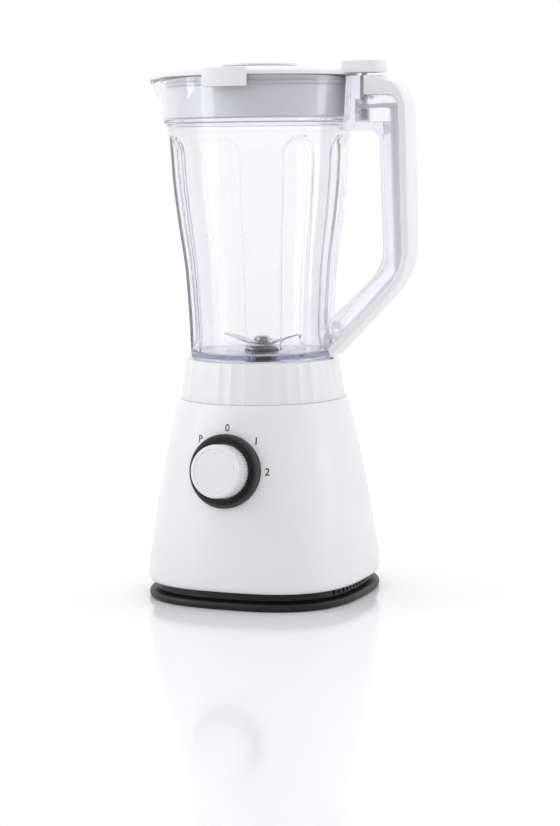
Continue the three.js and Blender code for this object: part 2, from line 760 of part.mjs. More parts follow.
function handleFrame() {
  const bar = upright(
    [
      [jugFootRadius + 5.5, armBottomZ],
      [gripX, armBottomZ, 9],
      [gripBottomX, gripBottomZ, 15],
      [jugFootRadius - 4.5, handleFootZ + 14.8],
      [jugFootRadius - 4.5, handleFootZ],
      [jugFootRadius + 1.5, handleFootZ],
      [clearEdgeX + gripLean, gripBottomZ - 4, 18],
      [clearEdgeX - 0.1, armTopZ, 9],
      [blockX, armTopZ],
      [blockX, jugRimZ - 0.7],
      [jugFootRadius + 5.5, jugRimZ - 0.7],
    ],
    handleWidth,
  );
  const ceilingZ = armTopZ - 2.8;
  const hollow = upright(
    [
      [pinX - springRadius - 0.5, springBottomZ - gap],
      [gripX + handleWall, springBottomZ - gap],
      [gripBottomX + handleWall, gripBottomZ - 1.5, 7],
      [jugFootRadius + 6, handleFootZ + 21],
      [jugFootRadius + 6, handleFootZ - 7],
      [clearEdgeX + 16, gripBottomZ - 10],
      [clearEdgeX + 16, armTopZ + 8],
      [blockX + 0.2, armTopZ + 8],
      [blockX + 0.2, ceilingZ],
      [pinX - springRadius - 0.5, ceilingZ],
    ],
    handleWidth - 2 * handleWall,
  );
  const pinHole = at(rod(pinRadius + gap, ceilingZ - 3, jugRimZ + 9), pinX, 0);
  const footSlot = box(jugFootRadius - 15, buttonX + 0.9, -3.3, 3.3, collarTopZ, handleFootZ + 19);
  const window = box(buttonX, jugFootRadius + 7.5, -3.3, 3.3, handleFootZ + 6.5, handleFootZ + 17);
  return cut(bar, jugVolume(), hollow, pinHole, footSlot, window);
}

function handleCover() {
  const skin = upright(
    [
      [blockX + gap, armTopZ + gap],
      [blockX + gap, jugRimZ - 0.4, 1],
      [blockX + 9.3, jugRimZ - 0.4, 2],
      [blockX + 10.8, jugRimZ - 3.6],
      [coverEdgeX - 7.9, jugRimZ - 5.7, 7],
      [coverEdgeX - 0.2, jugRimZ - 19.2, 8],
      [coverEdgeX + 2.1, gripBottomZ - 5.1, 22],
      [jugFootRadius + 6.3, handleFootZ - 3.8],
      [jugFootRadius + 3.3, handleFootZ + 1],
      [clearEdgeX + gripLean + gap, gripBottomZ - 4.5, 18],
      [clearEdgeX + 0.2, armTopZ + gap, 9],
    ],
    coverWidth,
  );
  const hollow = upright(
    [
      [blockX + 2.7, armTopZ - 6],
      [blockX + 2.7, jugRimZ - 2.8],
      [blockX + 6.8, jugRimZ - 2.8],
      [blockX + 8.8, jugRimZ - 6.2],
      [coverEdgeX - 9.4, jugRimZ - 8.4, 6],
      [coverEdgeX - 2.8, jugRimZ - 20.2, 7],
      [coverEdgeX - 0.8, gripBottomZ + 9.5],
      [clearEdgeX - 2.1, gripBottomZ + 9.5],
      [clearEdgeX - 4.1, armTopZ - 6],
    ],
    coverWidth - 2 * handleWall,
  );
  return cut(skin, hollow);
}

// One piece from the pin under the lid's tongue, down the handle, to the flat foot on the button.
function interlockSlider() {
  const thickness = 3;
  const strip = upright(
    [
      [buttonX - 0.6, buttonTopZ + gap],
      [buttonX + 0.6, buttonTopZ + gap],
      [buttonX + 0.6, handleFootZ + 8.5],
      [jugFootRadius + 9.5, handleFootZ + 8.5],
      [gripBottomX + 8.1, gripBottomZ - 8.5, 6],
      [gripBottomX + 8.1, gripBottomZ + 11.5],
      [gripX + 8.5, legZ + thickness, 3],
      [pinX - 3.4, legZ + thickness],
      [pinX - 3.4, legZ],
      [gripX + 5.7, legZ, 2],
      [gripBottomX + 5, gripBottomZ + 11.5],
      [gripBottomX + 5, gripBottomZ - 4.5],
      [jugFootRadius + 7.5, handleFootZ + 12],
      [buttonX - 0.6, handleFootZ + 12],
    ],
    5.6,
  );
  return join(strip, at(rod(pinRadius, springBottomZ + 2, pinTopZ, 10), pinX, 0));
}

class SpringPath extends THREE.Curve {
  getPoint(t, target = new THREE.Vector3()) {
    const turn = t * springTurns * 2 * Math.PI;
    const radius = springRadius - wireRadius;
    const height = springTopZ - springBottomZ - 2 * wireRadius;
    return target.set(
      pinX + radius * Math.cos(turn),
      radius * Math.sin(turn),
      springBottomZ + wireRadius + height * t,
    );
  }
}

function interlockSpring() {
  const section = new THREE.Shape();
  section.absarc(0, 0, wireRadius, 0, 2 * Math.PI);
  const wire = { steps: springTurns * 8, curveSegments: 2, bevelEnabled: false };
  return toSolid(new THREE.ExtrudeGeometry(section, { ...wire, extrudePath: new SpringPath() }));
}

function interlockButton() {
  const blade = box(buttonX - 0.7, buttonX + 0.7, -3, 3, wellFloorZ + 1, buttonTopZ);
  return join(blade, box(buttonX - 10.4, buttonX + 0.7, -3, 3, wellFloorZ, wellFloorZ + 2.5));
}

function microswitch() {
  const body = box(buttonX - 12.4, buttonX - 5.4, -10, 10, wellFloorZ - 13, wellFloorZ - 3.5);
  return join(body, at(rod(1.4, wellFloorZ - 5, wellFloorZ - gap, 8), buttonX - 8.9, 0));
}

// Lid

function lid() {
  const rim = jugRimRadius + lidOverhang;
  const plug = jugRimRadius - plugInset;
  const plate = toSolid(
    reshape(
      lathe(
        closed([
          [throatRadius, lidTopZ],
          [34, lidTopZ - 0.2],
          [rim - 1.8, lidTopZ - 4.4],
          [rim, lidTopZ - 5.6],
          [rim, lidRimZ],
          [plug, lidRimZ],
          [plug, lidRimZ - plugDepth],
          [plug - 2.2, lidRimZ - plugDepth],
          [plug - 2.2, lidTopZ - 6.1],
          [throatRadius + 2.2, lidTopZ - 2.8],
          [throatRadius + 2.2, lidRimZ - 8.5],
          [throatRadius, lidRimZ - 8.5],
        ]),
        40,
      ),
      (radius, angle) => (radius > plug + 1 ? radius + spoutAt(angle, jugRimZ, spoutReach - 1.5) : radius),
    ),
  );
  const front = -90 + tabTurn;
  const tab = sector(jugRimRadius + 0.7, jugRimRadius + 5.1, front - tabWidth / 2, front + tabWidth / 2,
    jugRimZ - 8.2, jugRimZ + 5.4, 4);
  const shape = new THREE.Shape();
  const half = tongueWidth / 2;
  shape.moveTo(plug + 1.8, -half);
  shape.absarc(jugRimRadius + tongueReach - half, 0, half, -Math.PI / 2, Math.PI / 2, false);
  shape.lineTo(plug + 1.8, half);
  shape.closePath();
  return join(plate, tab, flat(shape, tongueTopZ - tongueThickness, tongueTopZ, 6));
}

function lidSeal() {
  const inner = jugRimRadius - plugInset + gap;
  const z = lidRimZ - 7.5;
  return turned(closed([[inner, z], [inner + 1.6, z + 1], [inner + 1.6, z + 3], [inner, z + 4]]), 40);
}

function fillerCap() {
  const plug = throatRadius - 0.5;
  return turned([
    [0, lidTopZ + 2],
    [throatRadius + 3, lidTopZ + 2],
    [throatRadius + 4.4, lidTopZ + 1.3],
    [throatRadius + 4.4, lidTopZ + gap],
    [plug, lidTopZ + gap],
    [plug, lidRimZ - 6],
    [plug - 2, lidRimZ - 6],
    [plug - 2, lidTopZ - 0.4],
    [0, lidTopZ - 0.4],
  ], 28);
}

// Assembly

const blender = new THREE.Group();

function add(name, solid, material, parent = blender) {
  const mesh = toMesh(name, solid, material);
  parent.add(mesh);
  return mesh;
}

add("housing", housing(), whitePlastic);
add("top_collar", collar(), whitePlastic);
add("base_plate", basePlate(), darkPlastic);
add("motor_upper_bracket", upperBracket(), plainSteel);
add("motor_lower_bracket", lowerBracket(), plainSteel);
add("stator_core", statorCore(), plainSteel);
add("upper_bearing", bearing(upperBracketZ - 1), brightSteel);
add("lower_bearing", bearing(lowerBracketZ - 1), brightSteel);
add("drip_seal", dripSeal(), rubber);
add("interlock_microswitch", microswitch(), blackPlastic);
add("interlock_button", interlockButton(), blackPlastic);
add("motor_shaft", motorShaft(), brightSteel);
add("armature_core", armatureCore(), plainSteel);
add("commutator", commutator(), copper);
add("cooling_fan", coolingFan(), blackPlastic);
add("drive_coupling", driveCoupling(), blackPlastic);

corners.forEach(([sx, sy], i) => {
  add(numbered("rubber_foot", i), foot(), rubber).position.set(sx * footSpread, sy * footSpread, 0);
  add(numbered("base_screw", i), baseScrew(), plainSteel)
    .position.set(sx * screwSpread, sy * screwSpread, 0);
  add(numbered("motor_damper", i), damper(), rubber)
    .position.set(sx * mountSpread, sy * mountSpread, 0);
  add(numbered("motor_screw", i), motorScrew(), plainSteel)
    .position.set(sx * mountSpread, sy * mountSpread, 0);
});

for (const [side, hand] of [["right", 1], ["left", -1]]) {
  add(`field_coil_${side}`, fieldCoil(hand), copper);
  const turn = hand > 0 ? 0 : Math.PI;
  add(`brush_holder_${side}`, brushHolder(), bakelite).rotation.z = turn;
  add(`carbon_brush_${side}`, carbonBrush(), carbon).rotation.z = turn;
}

blender.add(knobPanel, inletPanel);
add("knob_bezel", knobBezel(), darkPlastic, knobPanel);
add("switch_body", switchBody(), blackPlastic, knobPanel);
add("knob_spindle", knobSpindle(), plainSteel, knobPanel);
add("knob", knob(), whitePlastic, knobPanel);
add("cord_inlet", cordInlet(), darkPlastic, inletPanel);

add("jug", jug(), clearPlastic);
add("handle_frame", handleFrame(), clearPlastic);
add("handle_cover", handleCover(), whitePlastic);
add("interlock_slider", interlockSlider(), whitePlastic);
add("interlock_spring", interlockSpring(), plainSteel);
add("blade_bearing_housing", bearingHousing(), brightSteel);
add("blade_seal", bladeSeal(), rubber);
add("blade_locknut", bladeLocknut(), blackPlastic);
add("blade_shaft", bladeShaft(), brightSteel);
add("blade_lower", blade(1.5, bladeZ), brightSteel).rotation.z = Math.PI / 2;
add("blade_upper", blade(7, bladeZ + bladeThickness + gap), brightSteel);
add("blade_cap_nut", bladeCapNut(), brightSteel);
add("jug_coupling", jugCoupling(), blackPlastic);

add("lid", lid(), whitePlastic);
add("lid_seal", lidSeal(), silicone);
add("filler_cap", fillerCap(), whitePlastic);

export default blender;
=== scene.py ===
import json
import math

import bmesh
import bpy
from mathutils import Matrix, Vector


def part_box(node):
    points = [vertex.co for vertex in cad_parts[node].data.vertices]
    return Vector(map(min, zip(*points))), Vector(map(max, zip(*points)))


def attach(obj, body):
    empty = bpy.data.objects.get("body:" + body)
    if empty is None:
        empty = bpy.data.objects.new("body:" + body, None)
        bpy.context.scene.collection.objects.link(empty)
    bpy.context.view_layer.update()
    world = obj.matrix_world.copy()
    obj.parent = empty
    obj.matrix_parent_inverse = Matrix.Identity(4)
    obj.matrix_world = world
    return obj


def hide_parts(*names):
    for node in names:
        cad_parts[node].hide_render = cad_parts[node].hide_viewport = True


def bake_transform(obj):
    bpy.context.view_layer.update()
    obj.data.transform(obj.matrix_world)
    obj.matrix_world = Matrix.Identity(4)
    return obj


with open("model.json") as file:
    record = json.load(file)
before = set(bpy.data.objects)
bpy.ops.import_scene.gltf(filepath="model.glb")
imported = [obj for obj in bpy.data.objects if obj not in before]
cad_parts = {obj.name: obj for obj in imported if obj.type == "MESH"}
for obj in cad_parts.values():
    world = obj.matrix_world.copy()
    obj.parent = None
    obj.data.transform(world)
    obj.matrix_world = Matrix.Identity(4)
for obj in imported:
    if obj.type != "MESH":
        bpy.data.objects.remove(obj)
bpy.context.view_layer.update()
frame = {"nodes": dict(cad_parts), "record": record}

mm = 0.001
bodyOf = {node: body for body, nodes in frame["record"]["behaviour"]["bodies"].items() for node in nodes}
slotOf = {part["node"]: part["material_slot"] for part in frame["record"]["subparts"]}


def high(node):
    return Vector(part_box(node)[1])


def low(node):
    return Vector(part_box(node)[0])


# ---- materials: colours are sRGB hex, sizes of patterns are in millimetres

def linear(hexColor):
    values = [int(hexColor[i:i + 2], 16) / 255 for i in (1, 3, 5)]
    return tuple(v / 12.92 if v <= 0.04045 else ((v + 0.055) / 1.055) ** 2.4 for v in values) + (1.0,)


def addNode(material, kind, inputs=None, **settings):
    tree = material.node_tree
    node = tree.nodes.new(kind)
    for key, value in settings.items():
        setattr(node, key, value)
    for key, value in (inputs or {}).items():
        if isinstance(value, bpy.types.NodeSocket):
            tree.links.new(value, node.inputs[key])
        else:
            node.inputs[key].default_value = value
    return node


def newMaterial(name):
    material = bpy.data.materials.new(name)
    material.use_nodes = True
    material.node_tree.nodes.clear()
    return material


def perMillimetre(size):
    return 1 / (size * mm)  # Noise scale for a grain this many millimetres across


noiseLow, noiseHigh = 0.3, 0.7  # most of a noise texture's values lie between these


def mouldedPlastic(name, look):
    # An eroded mould leaves a fine even grain, and handling leaves patches that shine a little more
    material = newMaterial(name)
    place = addNode(material, "ShaderNodeTexCoord").outputs["Object"]
    grain = addNode(material, "ShaderNodeTexNoise", {
        "Vector": place, "Scale": perMillimetre(look["grain"]), "Detail": 2.0, "Roughness": 0.6})
    patches = addNode(material, "ShaderNodeTexNoise", {
        "Vector": place, "Scale": perMillimetre(look["patch"]), "Detail": 3.0})
    rough = addNode(material, "ShaderNodeMapRange", {
        "Value": patches.outputs["Fac"], "From Min": noiseLow, "From Max": noiseHigh,
        "To Min": look["roughness"] - look["spread"], "To Max": look["roughness"] + look["spread"]})
    tone = addNode(material, "ShaderNodeMix", {
        "Factor": patches.outputs["Fac"], "A": linear(look["color"]), "B": linear(look["shade"])},
        data_type="RGBA")
    bump = addNode(material, "ShaderNodeBump", {
        "Height": grain.outputs["Fac"], "Strength": look["bump"], "Distance": 0.05 * mm})
    shader = addNode(material, "ShaderNodeBsdfPrincipled", {
        "Base Color": tone.outputs["Result"], "Roughness": rough.outputs["Result"],
        "Normal": bump.outputs["Normal"], "IOR": look["ior"]})
    addNode(material, "ShaderNodeOutputMaterial", {"Surface": shader.outputs["BSDF"]})
    return material


def clearPlastic(name, look):
    # Polished SAN is colourless through a wall and violet grey along it, where light travels far inside
    material = newMaterial(name)
    shader = addNode(material, "ShaderNodeBsdfPrincipled", {
        "Base Color": linear(look["color"]), "Roughness": look["roughness"],
        "Transmission Weight": 1.0, "IOR": look["ior"]})
    through = addNode(material, "ShaderNodeBsdfTransparent", {"Color": linear(look["shadow"])})
    path = addNode(material, "ShaderNodeLightPath")
    straight = addNode(material, "ShaderNodeMath", {0: path.outputs["Is Shadow Ray"], 1: look["straight"]},
                       operation="MAXIMUM")
    either = addNode(material, "ShaderNodeMixShader", {
        0: straight.outputs["Value"], 1: shader.outputs["BSDF"], 2: through.outputs["BSDF"]})
    inside = addNode(material, "ShaderNodeVolumeAbsorption", {
        "Color": linear(look["depth"]), "Density": look["density"]})
    addNode(material, "ShaderNodeOutputMaterial", {
        "Surface": either.outputs["Shader"], "Volume": inside.outputs["Volume"]})
    return material


def groundMetal(name, look):
    # A belt leaves fine parallel scratches, long one way and narrow the other
    material = newMaterial(name)
    place = addNode(material, "ShaderNodeTexCoord").outputs["Object"]
    mapped = addNode(material, "ShaderNodeMapping", {
        "Vector": place, "Rotation": (0, 0, math.radians(look["turn"])),
        "Scale": (1.0, look["stretch"], 1.0)})
    scratches = addNode(material, "ShaderNodeTexNoise", {
        "Vector": mapped.outputs["Vector"], "Scale": perMillimetre(look["grain"]), "Detail": 3.0})
    rough = addNode(material, "ShaderNodeMapRange", {
        "Value": scratches.outputs["Fac"], "From Min": noiseLow, "From Max": noiseHigh,
        "To Min": look["roughness"] - look["spread"], "To Max": look["roughness"] + look["spread"]})
    bump = addNode(material, "ShaderNodeBump", {
        "Height": scratches.outputs["Fac"], "Strength": look["bump"], "Distance": 0.02 * mm})
    shader = addNode(material, "ShaderNodeBsdfPrincipled", {
        "Base Color": linear(look["color"]), "Metallic": 1.0, "Roughness": rough.outputs["Result"],
        "Normal": bump.outputs["Normal"]})
    addNode(material, "ShaderNodeOutputMaterial", {"Surface": shader.outputs["BSDF"]})
    return material


plasticLooks = {
    "white_abs": {"color": "#EBEBED", "shade": "#E7E7E9", "roughness": 0.34, "spread": 0.03, "grain": 0.6,
                  "patch": 30, "bump": 0.12, "ior": 1.54},
    "dark_abs": {"color": "#1E1E20", "shade": "#242426", "roughness": 0.46, "spread": 0.05, "grain": 0.5,
                 "patch": 14, "bump": 0.35, "ior": 1.54},
    "black_nylon": {"color": "#202022", "shade": "#2A2A2B", "roughness": 0.5, "spread": 0.06, "grain": 0.5,
                    "patch": 8, "bump": 0.3, "ior": 1.53},
    "bakelite": {"color": "#5A3A26", "shade": "#472D1E", "roughness": 0.4, "spread": 0.08, "grain": 0.4,
                 "patch": 5, "bump": 0.3, "ior": 1.6},
    "carbon": {"color": "#2A2A2C", "shade": "#1F1F20", "roughness": 0.7, "spread": 0.1, "grain": 0.3,
               "patch": 2, "bump": 0.5, "ior": 1.8},
    "white_silicone": {"color": "#DCDCE0", "shade": "#D6D6DA", "roughness": 0.5, "spread": 0.05,
                       "grain": 0.6, "patch": 8, "bump": 0.1, "ior": 1.42},
    "rubber": {"color": "#262627", "shade": "#303031", "roughness": 0.75, "spread": 0.06, "grain": 0.4,
               "patch": 6, "bump": 0.5, "ior": 1.52},
}
metalLooks = {
    "stainless": {"color": "#C9CACC", "roughness": 0.24, "spread": 0.06, "grain": 1.6, "stretch": 24,
                  "turn": 20, "bump": 0.3},
    "zinc_steel": {"color": "#B4B6B8", "roughness": 0.38, "spread": 0.08, "grain": 2.0, "stretch": 4,
                   "turn": 0, "bump": 0.3},
    "core_steel": {"color": "#6E6E70", "roughness": 0.5, "spread": 0.1, "grain": 1.2, "stretch": 2,
                   "turn": 0, "bump": 0.4},
    "copper": {"color": "#C07A4E", "roughness": 0.35, "spread": 0.1, "grain": 0.8, "stretch": 6,
               "turn": 0, "bump": 0.6},
}
# density is what the depth of the plastic takes from light per metre, and straight is the share of light
# that passes its walls unbent
clearLook = {"color": "#FDFDFE", "roughness": 0.02, "ior": 1.46, "shadow": "#FCFCFE", "depth": "#A6A2CA",
             "density": 20.0, "straight": 0.07}
slotNames = {
    "white_abs": "moulded white ABS", "dark_abs": "moulded charcoal ABS",
    "black_nylon": "moulded black nylon", "bakelite": "phenolic moulding", "carbon": "pressed carbon",
    "rubber": "moulded rubber",
    "white_silicone": "white silicone", "stainless": "ground stainless steel",
    "zinc_steel": "zinc plated steel", "core_steel": "varnished core steel", "copper": "enamelled copper",
}
materials = {slot: mouldedPlastic(slotNames[slot], look) for slot, look in plasticLooks.items()}
materials.update({slot: groundMetal(slotNames[slot], look) for slot, look in metalLooks.items()})
materials["clear_plastic"] = clearPlastic("clear SAN plastic", clearLook)
# A textured mould leaves the handle's frame a little hazy
hazyLook = {**clearLook, "roughness": 0.14, "density": 15.0, "straight": 0.18}
hazyPlastic = clearPlastic("clear SAN plastic, textured mould", hazyLook)
# The base plate is a drier black than the bezel, and its colour is darker still: painted shade, as dark as
# the shade in its recess
shadedBlackLook = {**plasticLooks["dark_abs"], "color": "#0D0D0F", "shade": "#131315", "roughness": 0.44,
             "ior": 1.42}
shadedBlackBase = mouldedPlastic("moulded black ABS with painted shade", shadedBlackLook)
inkLook = {**plasticLooks["dark_abs"], "color": "#24262C", "shade": "#2C2E34", "bump": 0.05}
printInk = mouldedPlastic("pad printed ink", inkLook)
print("materials made")


# ---- shapes

def newPiece(name, vertices, faces, slot):
    mesh = bpy.data.meshes.new(name)
    mesh.from_pydata(vertices, [], faces)
    return placePiece(name, mesh, slot)


def placePiece(name, mesh, slot):
    piece = bpy.data.objects.new(name, mesh)
    bpy.context.scene.collection.objects.link(piece)
    mesh.materials.clear()
    mesh.materials.append(materials[slot])
    return piece


def smooth(piece, angle=32):
    piece.data.shade_smooth()
    piece.data.set_sharp_from_angle(angle=math.radians(angle))
    return piece


def facedOut(piece):
    bm = bmesh.new()
    bm.from_mesh(piece.data)
    bmesh.ops.recalc_face_normals(bm, faces=bm.faces)
    bm.to_mesh(piece.data)
    bm.free()
    return piece


def applyModifiers(piece):
    graph = bpy.context.evaluated_depsgraph_get()
    mesh = bpy.data.meshes.new_from_object(piece.evaluated_get(graph))
    piece.modifiers.clear()
    piece.data = mesh
    return piece


def bevel(piece, width, segments=3, angle=30):
    step = piece.modifiers.new("bevel", "BEVEL")
    step.width = width
    step.segments = segments
    step.limit_method = "ANGLE"
    step.angle_limit = math.radians(angle)
    return applyModifiers(piece)


def cut(piece, tool):
    step = piece.modifiers.new("cut", "BOOLEAN")
    step.operation = "DIFFERENCE"
    step.solver = "MANIFOLD"
    step.object = tool
    applyModifiers(piece)
    bpy.data.objects.remove(tool)


def joined(name, pieces, slot):
    mesh = bpy.data.meshes.new(name)
    bm = bmesh.new()
    for piece in pieces:
        bm.from_mesh(piece.data)
    bm.to_mesh(mesh)
    bm.free()
    for piece in pieces:
        bpy.data.objects.remove(piece)
    return placePiece(name, mesh, slot)


def finish(piece, node, angle=32):
    piece.data.materials.clear()
    piece.data.materials.append(materials[slotOf[node]])
    smooth(piece, angle)
    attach(piece, bodyOf[node])
    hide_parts(node)
    return piece


# Corners of (x, y, radius), each rounded with a few points that start this radius before the corner
def roundedPath(corners, steps=6, closed=True):
    path = []
    for i, (x, y, radius) in enumerate(corners):
        here = Vector((x, y))
        if not radius or (not closed and i in (0, len(corners) - 1)):
            path.append((x, y))
            continue
        before = Vector(corners[i - 1][:2]) - here
        after = Vector(corners[(i + 1) % len(corners)][:2]) - here
        reach = min(radius, before.length * 0.49, after.length * 0.49)
        start = here + before.normalized() * reach
        end = here + after.normalized() * reach
        for step in range(steps + 1):
            t = step / steps
            point = start * (1 - t) ** 2 + here * 2 * t * (1 - t) + end * t * t
            path.append((point.x, point.y))
    return path


# Adds points so that no step along a profile is longer than the given length
def divided(profile, longest, closed=True):
    ends = profile[1:] + profile[:1] if closed else profile[1:]
    result = []
    for (r0, z0), (r1, z1) in zip(profile, ends):
        count = max(1, math.ceil(math.hypot(r1 - r0, z1 - z0) / longest))
        result += [(r0 + (r1 - r0) * i / count, z0 + (z1 - z0) * i / count) for i in range(count)]
    return result if closed else result + [profile[-1]]


# Turns a profile of (radius, height) about the Z axis. Angles are in degrees round from the front.
def turned(name, profile, segments, slot, reshape=None, closed=True):
    vertices = []
    for i in range(segments):
        angle = 360 * i / segments
        angle = angle - 360 if angle > 180 else angle
        for radius, z in profile:
            r = reshape(radius, angle, z) if reshape else radius
            vertices.append((r * math.sin(math.radians(angle)), -r * math.cos(math.radians(angle)), z))
    count = len(profile)
    faces = []
    for i in range(segments):
        a, b = i * count, (i + 1) % segments * count
        for j in range(count if closed else count - 1):
            k = (j + 1) % count
            faces.append((a + j, b + j, b + k, a + k))
    piece = newPiece(name, vertices, faces, slot)
    bm = bmesh.new()
    bm.from_mesh(piece.data)
    bmesh.ops.remove_doubles(bm, verts=bm.verts, dist=1e-7)
    bmesh.ops.dissolve_degenerate(bm, edges=bm.edges, dist=1e-8)
    bmesh.ops.recalc_face_normals(bm, faces=bm.faces)
    bm.to_mesh(piece.data)
    bm.free()
    return piece


# An outline of (x, y) as a slab between two heights
def slab(name, path, bottom, top, slot):
    count = len(path)
    vertices = [(x, y, z) for z in (bottom, top) for x, y in path]
    faces = [tuple(reversed(range(count))), tuple(range(count, 2 * count))]
    faces += [(i, (i + 1) % count, count + (i + 1) % count, count + i) for i in range(count)]
    return facedOut(newPiece(name, vertices, faces, slot))


# A CAD node with its triangles merged and its edges eased as a mould leaves them
def eased(node, width, segments=3, angle=30, name=None):
    mesh = frame["nodes"][node].data.copy()
    bm = bmesh.new()
    bm.from_mesh(mesh)
    bmesh.ops.remove_doubles(bm, verts=bm.verts, dist=2e-6)
    bmesh.ops.dissolve_limit(bm, angle_limit=math.radians(0.5), verts=bm.verts, edges=bm.edges)
    bm.to_mesh(mesh)
    bm.free()
    piece = placePiece(name or node + "_eased", mesh, slotOf[node])
    return bevel(piece, width, segments, angle)


# ---- repeated bars, in Geometry Nodes

def barsTree():
    tree = bpy.data.node_groups.new("repeated bars", "GeometryNodeTree")
    sockets = {"Count": "Int", "Radius": "Float", "Start Angle": "Float", "Angle Step": "Float",
               "Start Height": "Float", "Height Step": "Float", "Bar Size": "Vector", "Tilt": "Float",
               "Material": "Material"}
    for name, kind in sockets.items():
        tree.interface.new_socket(name, in_out="INPUT", socket_type="NodeSocket" + kind)
    tree.interface.new_socket("Geometry", in_out="OUTPUT", socket_type="NodeSocketGeometry")

    def node(kind, inputs=None, **settings):
        made = tree.nodes.new(kind)
        for key, value in settings.items():
            setattr(made, key, value)
        for key, value in (inputs or {}).items():
            if isinstance(value, bpy.types.NodeSocket):
                tree.links.new(value, made.inputs[key])
            else:
                made.inputs[key].default_value = value
        return made

    given = node("NodeGroupInput").outputs
    index = node("GeometryNodeInputIndex").outputs[0]

    def steps(start, step):
        return node("ShaderNodeMath", {0: index, 1: given[step], 2: given[start]},
                    operation="MULTIPLY_ADD").outputs[0]

    angle = steps("Start Angle", "Angle Step")
    x = node("ShaderNodeMath", {0: node("ShaderNodeMath", {0: angle}, operation="COSINE").outputs[0],
                                1: given["Radius"]}, operation="MULTIPLY").outputs[0]
    y = node("ShaderNodeMath", {0: node("ShaderNodeMath", {0: angle}, operation="SINE").outputs[0],
                                1: given["Radius"]}, operation="MULTIPLY").outputs[0]
    z = steps("Start Height", "Height Step")
    place = node("ShaderNodeCombineXYZ", {"X": x, "Y": y, "Z": z}).outputs[0]
    points = node("GeometryNodePoints", {"Count": given["Count"], "Position": place}).outputs[0]
    bar = node("GeometryNodeMeshCube", {"Size": given["Bar Size"]}).outputs["Mesh"]
    lean = node("ShaderNodeCombineXYZ", {"X": given["Tilt"]}).outputs[0]
    leaning = node("GeometryNodeTransform", {"Geometry": bar, "Rotation": lean}).outputs[0]
    turn = node("FunctionNodeAxisAngleToRotation", {"Axis": (0, 0, 1), "Angle": angle}).outputs[0]
    copies = node("GeometryNodeInstanceOnPoints", {
        "Points": points, "Instance": leaning, "Rotation": turn}).outputs[0]
    real = node("GeometryNodeRealizeInstances", {"Geometry": copies}).outputs[0]
    painted = node("GeometryNodeSetMaterial", {"Geometry": real, "Material": given["Material"]}).outputs[0]
    node("NodeGroupOutput", {"Geometry": painted})
    return tree


barTree = barsTree()


def bars(name, slot, values):
    piece = placePiece(name, bpy.data.meshes.new(name), slot)
    step = piece.modifiers.new("bars", "NODES")
    step.node_group = barTree
    identifiers = {item.name: item.identifier for item in barTree.interface.items_tree}
    defaults = {"Start Angle": 0.0, "Angle Step": 0.0, "Start Height": 0.0, "Height Step": 0.0, "Tilt": 0.0}
    for key, value in {**defaults, **values, "Material": materials[slot]}.items():
        step[identifiers[key]] = value
    return applyModifiers(piece)


# ---- motor base

housingShape = {
    "topZ": high("housing").z, "bottomZ": low("housing").z + 0.7 * mm, "topRadius": 65 * mm,
    "bottomRadius": high("housing").x, "bulge": 2 * mm, "edge": 5 * mm, "wall": 2.5 * mm, "squareness": 2.8,
    "opening": 52 * mm, "knobDrop": 47.7 * mm, "knobHole": 23.7 * mm, "inletZ": 27 * mm,
    "inletHole": 5.5 * mm, "panelTilt": 8, "rows": 24, "edgeRows": 8, "segments": 160,
}


def rise(z):
    shape = housingShape
    start = shape["bottomZ"] + shape["edge"]
    return min(max((z - start) / (shape["topZ"] - start), 0), 1)


def housingRadius(z):
    t = rise(z)
    straight = housingShape["bottomRadius"] + (housingShape["topRadius"] - housingShape["bottomRadius"]) * t
    return straight + housingShape["bulge"] * 4 * t * (1 - t)


# A rounded square at the foot that becomes a circle at the top
def squarePower(z):
    return 2 + (housingShape["squareness"] - 2) * (1 - rise(z))


def squared(radius, angle, z):
    power = squarePower(z)
    c, s = abs(math.cos(math.radians(angle))), abs(math.sin(math.radians(angle)))
    return radius * (c ** power + s ** power) ** (-1 / power)


# Where the knob and the cord inlet stand on the sloping sides, with their own Z pointing out
def panel(z, side):
    turn = Matrix.Rotation(math.radians(-side * (90 - housingShape["panelTilt"])), 4, "X")
    return Matrix.Translation((0, side * housingRadius(z), z)) @ turn


knobPanel = panel(housingShape["topZ"] - housingShape["knobDrop"], -1)
inletPanel = panel(housingShape["inletZ"], 1)


def transformed(piece, matrix):
    piece.data.transform(matrix)
    return piece


def cylinder(name, radius, bottom, top, slot="white_abs", segments=96):
    profile = [(0, bottom), (radius, bottom), (radius, top), (0, top)]
    return turned(name, profile, segments, slot, closed=False)


def housing():
    shape = housingShape
    wall, bottom, top = shape["wall"], shape["bottomZ"], shape["topZ"]
    foot, edge, rows = shape["bottomRadius"], shape["edge"], shape["rows"]
    sideZ = [bottom + edge + (top - bottom - edge) * i / rows for i in range(rows + 1)]
    inset = 0.98 * wall + 0.2 * mm  # of the rounded edge's lower end
    lower = [(foot - wall, bottom + 0.4 * mm)]
    for i in range(shape["edgeRows"] + 1):
        turn = math.radians(90 * i / shape["edgeRows"])
        lower.append((foot - inset * (1 - math.sin(turn)), bottom + edge * (1 - math.cos(turn))))
    outer = [(housingRadius(z), z) for z in sideZ[1:-1]]
    crown = [(housingRadius(top) - 0.05 * mm, top - 0.7 * mm), (housingRadius(top) - 0.7 * mm, top)]
    flange = [(shape["opening"], top), (shape["opening"], top - wall)]
    inner = [(housingRadius(z) - wall, z) for z in reversed(sideZ[1:-1])]
    profile = lower + outer + crown + flange + [(housingRadius(top) - wall, top - wall)] + inner
    piece = turned("housing_shell", profile, shape["segments"], "white_abs", squared)
    for name, radius, place in (("knob opening", shape["knobHole"], knobPanel),
                                ("inlet opening", shape["inletHole"], inletPanel)):
        cut(piece, transformed(cylinder(name, radius, -20 * mm, 20 * mm), place))
    finish(piece, "housing", 35)


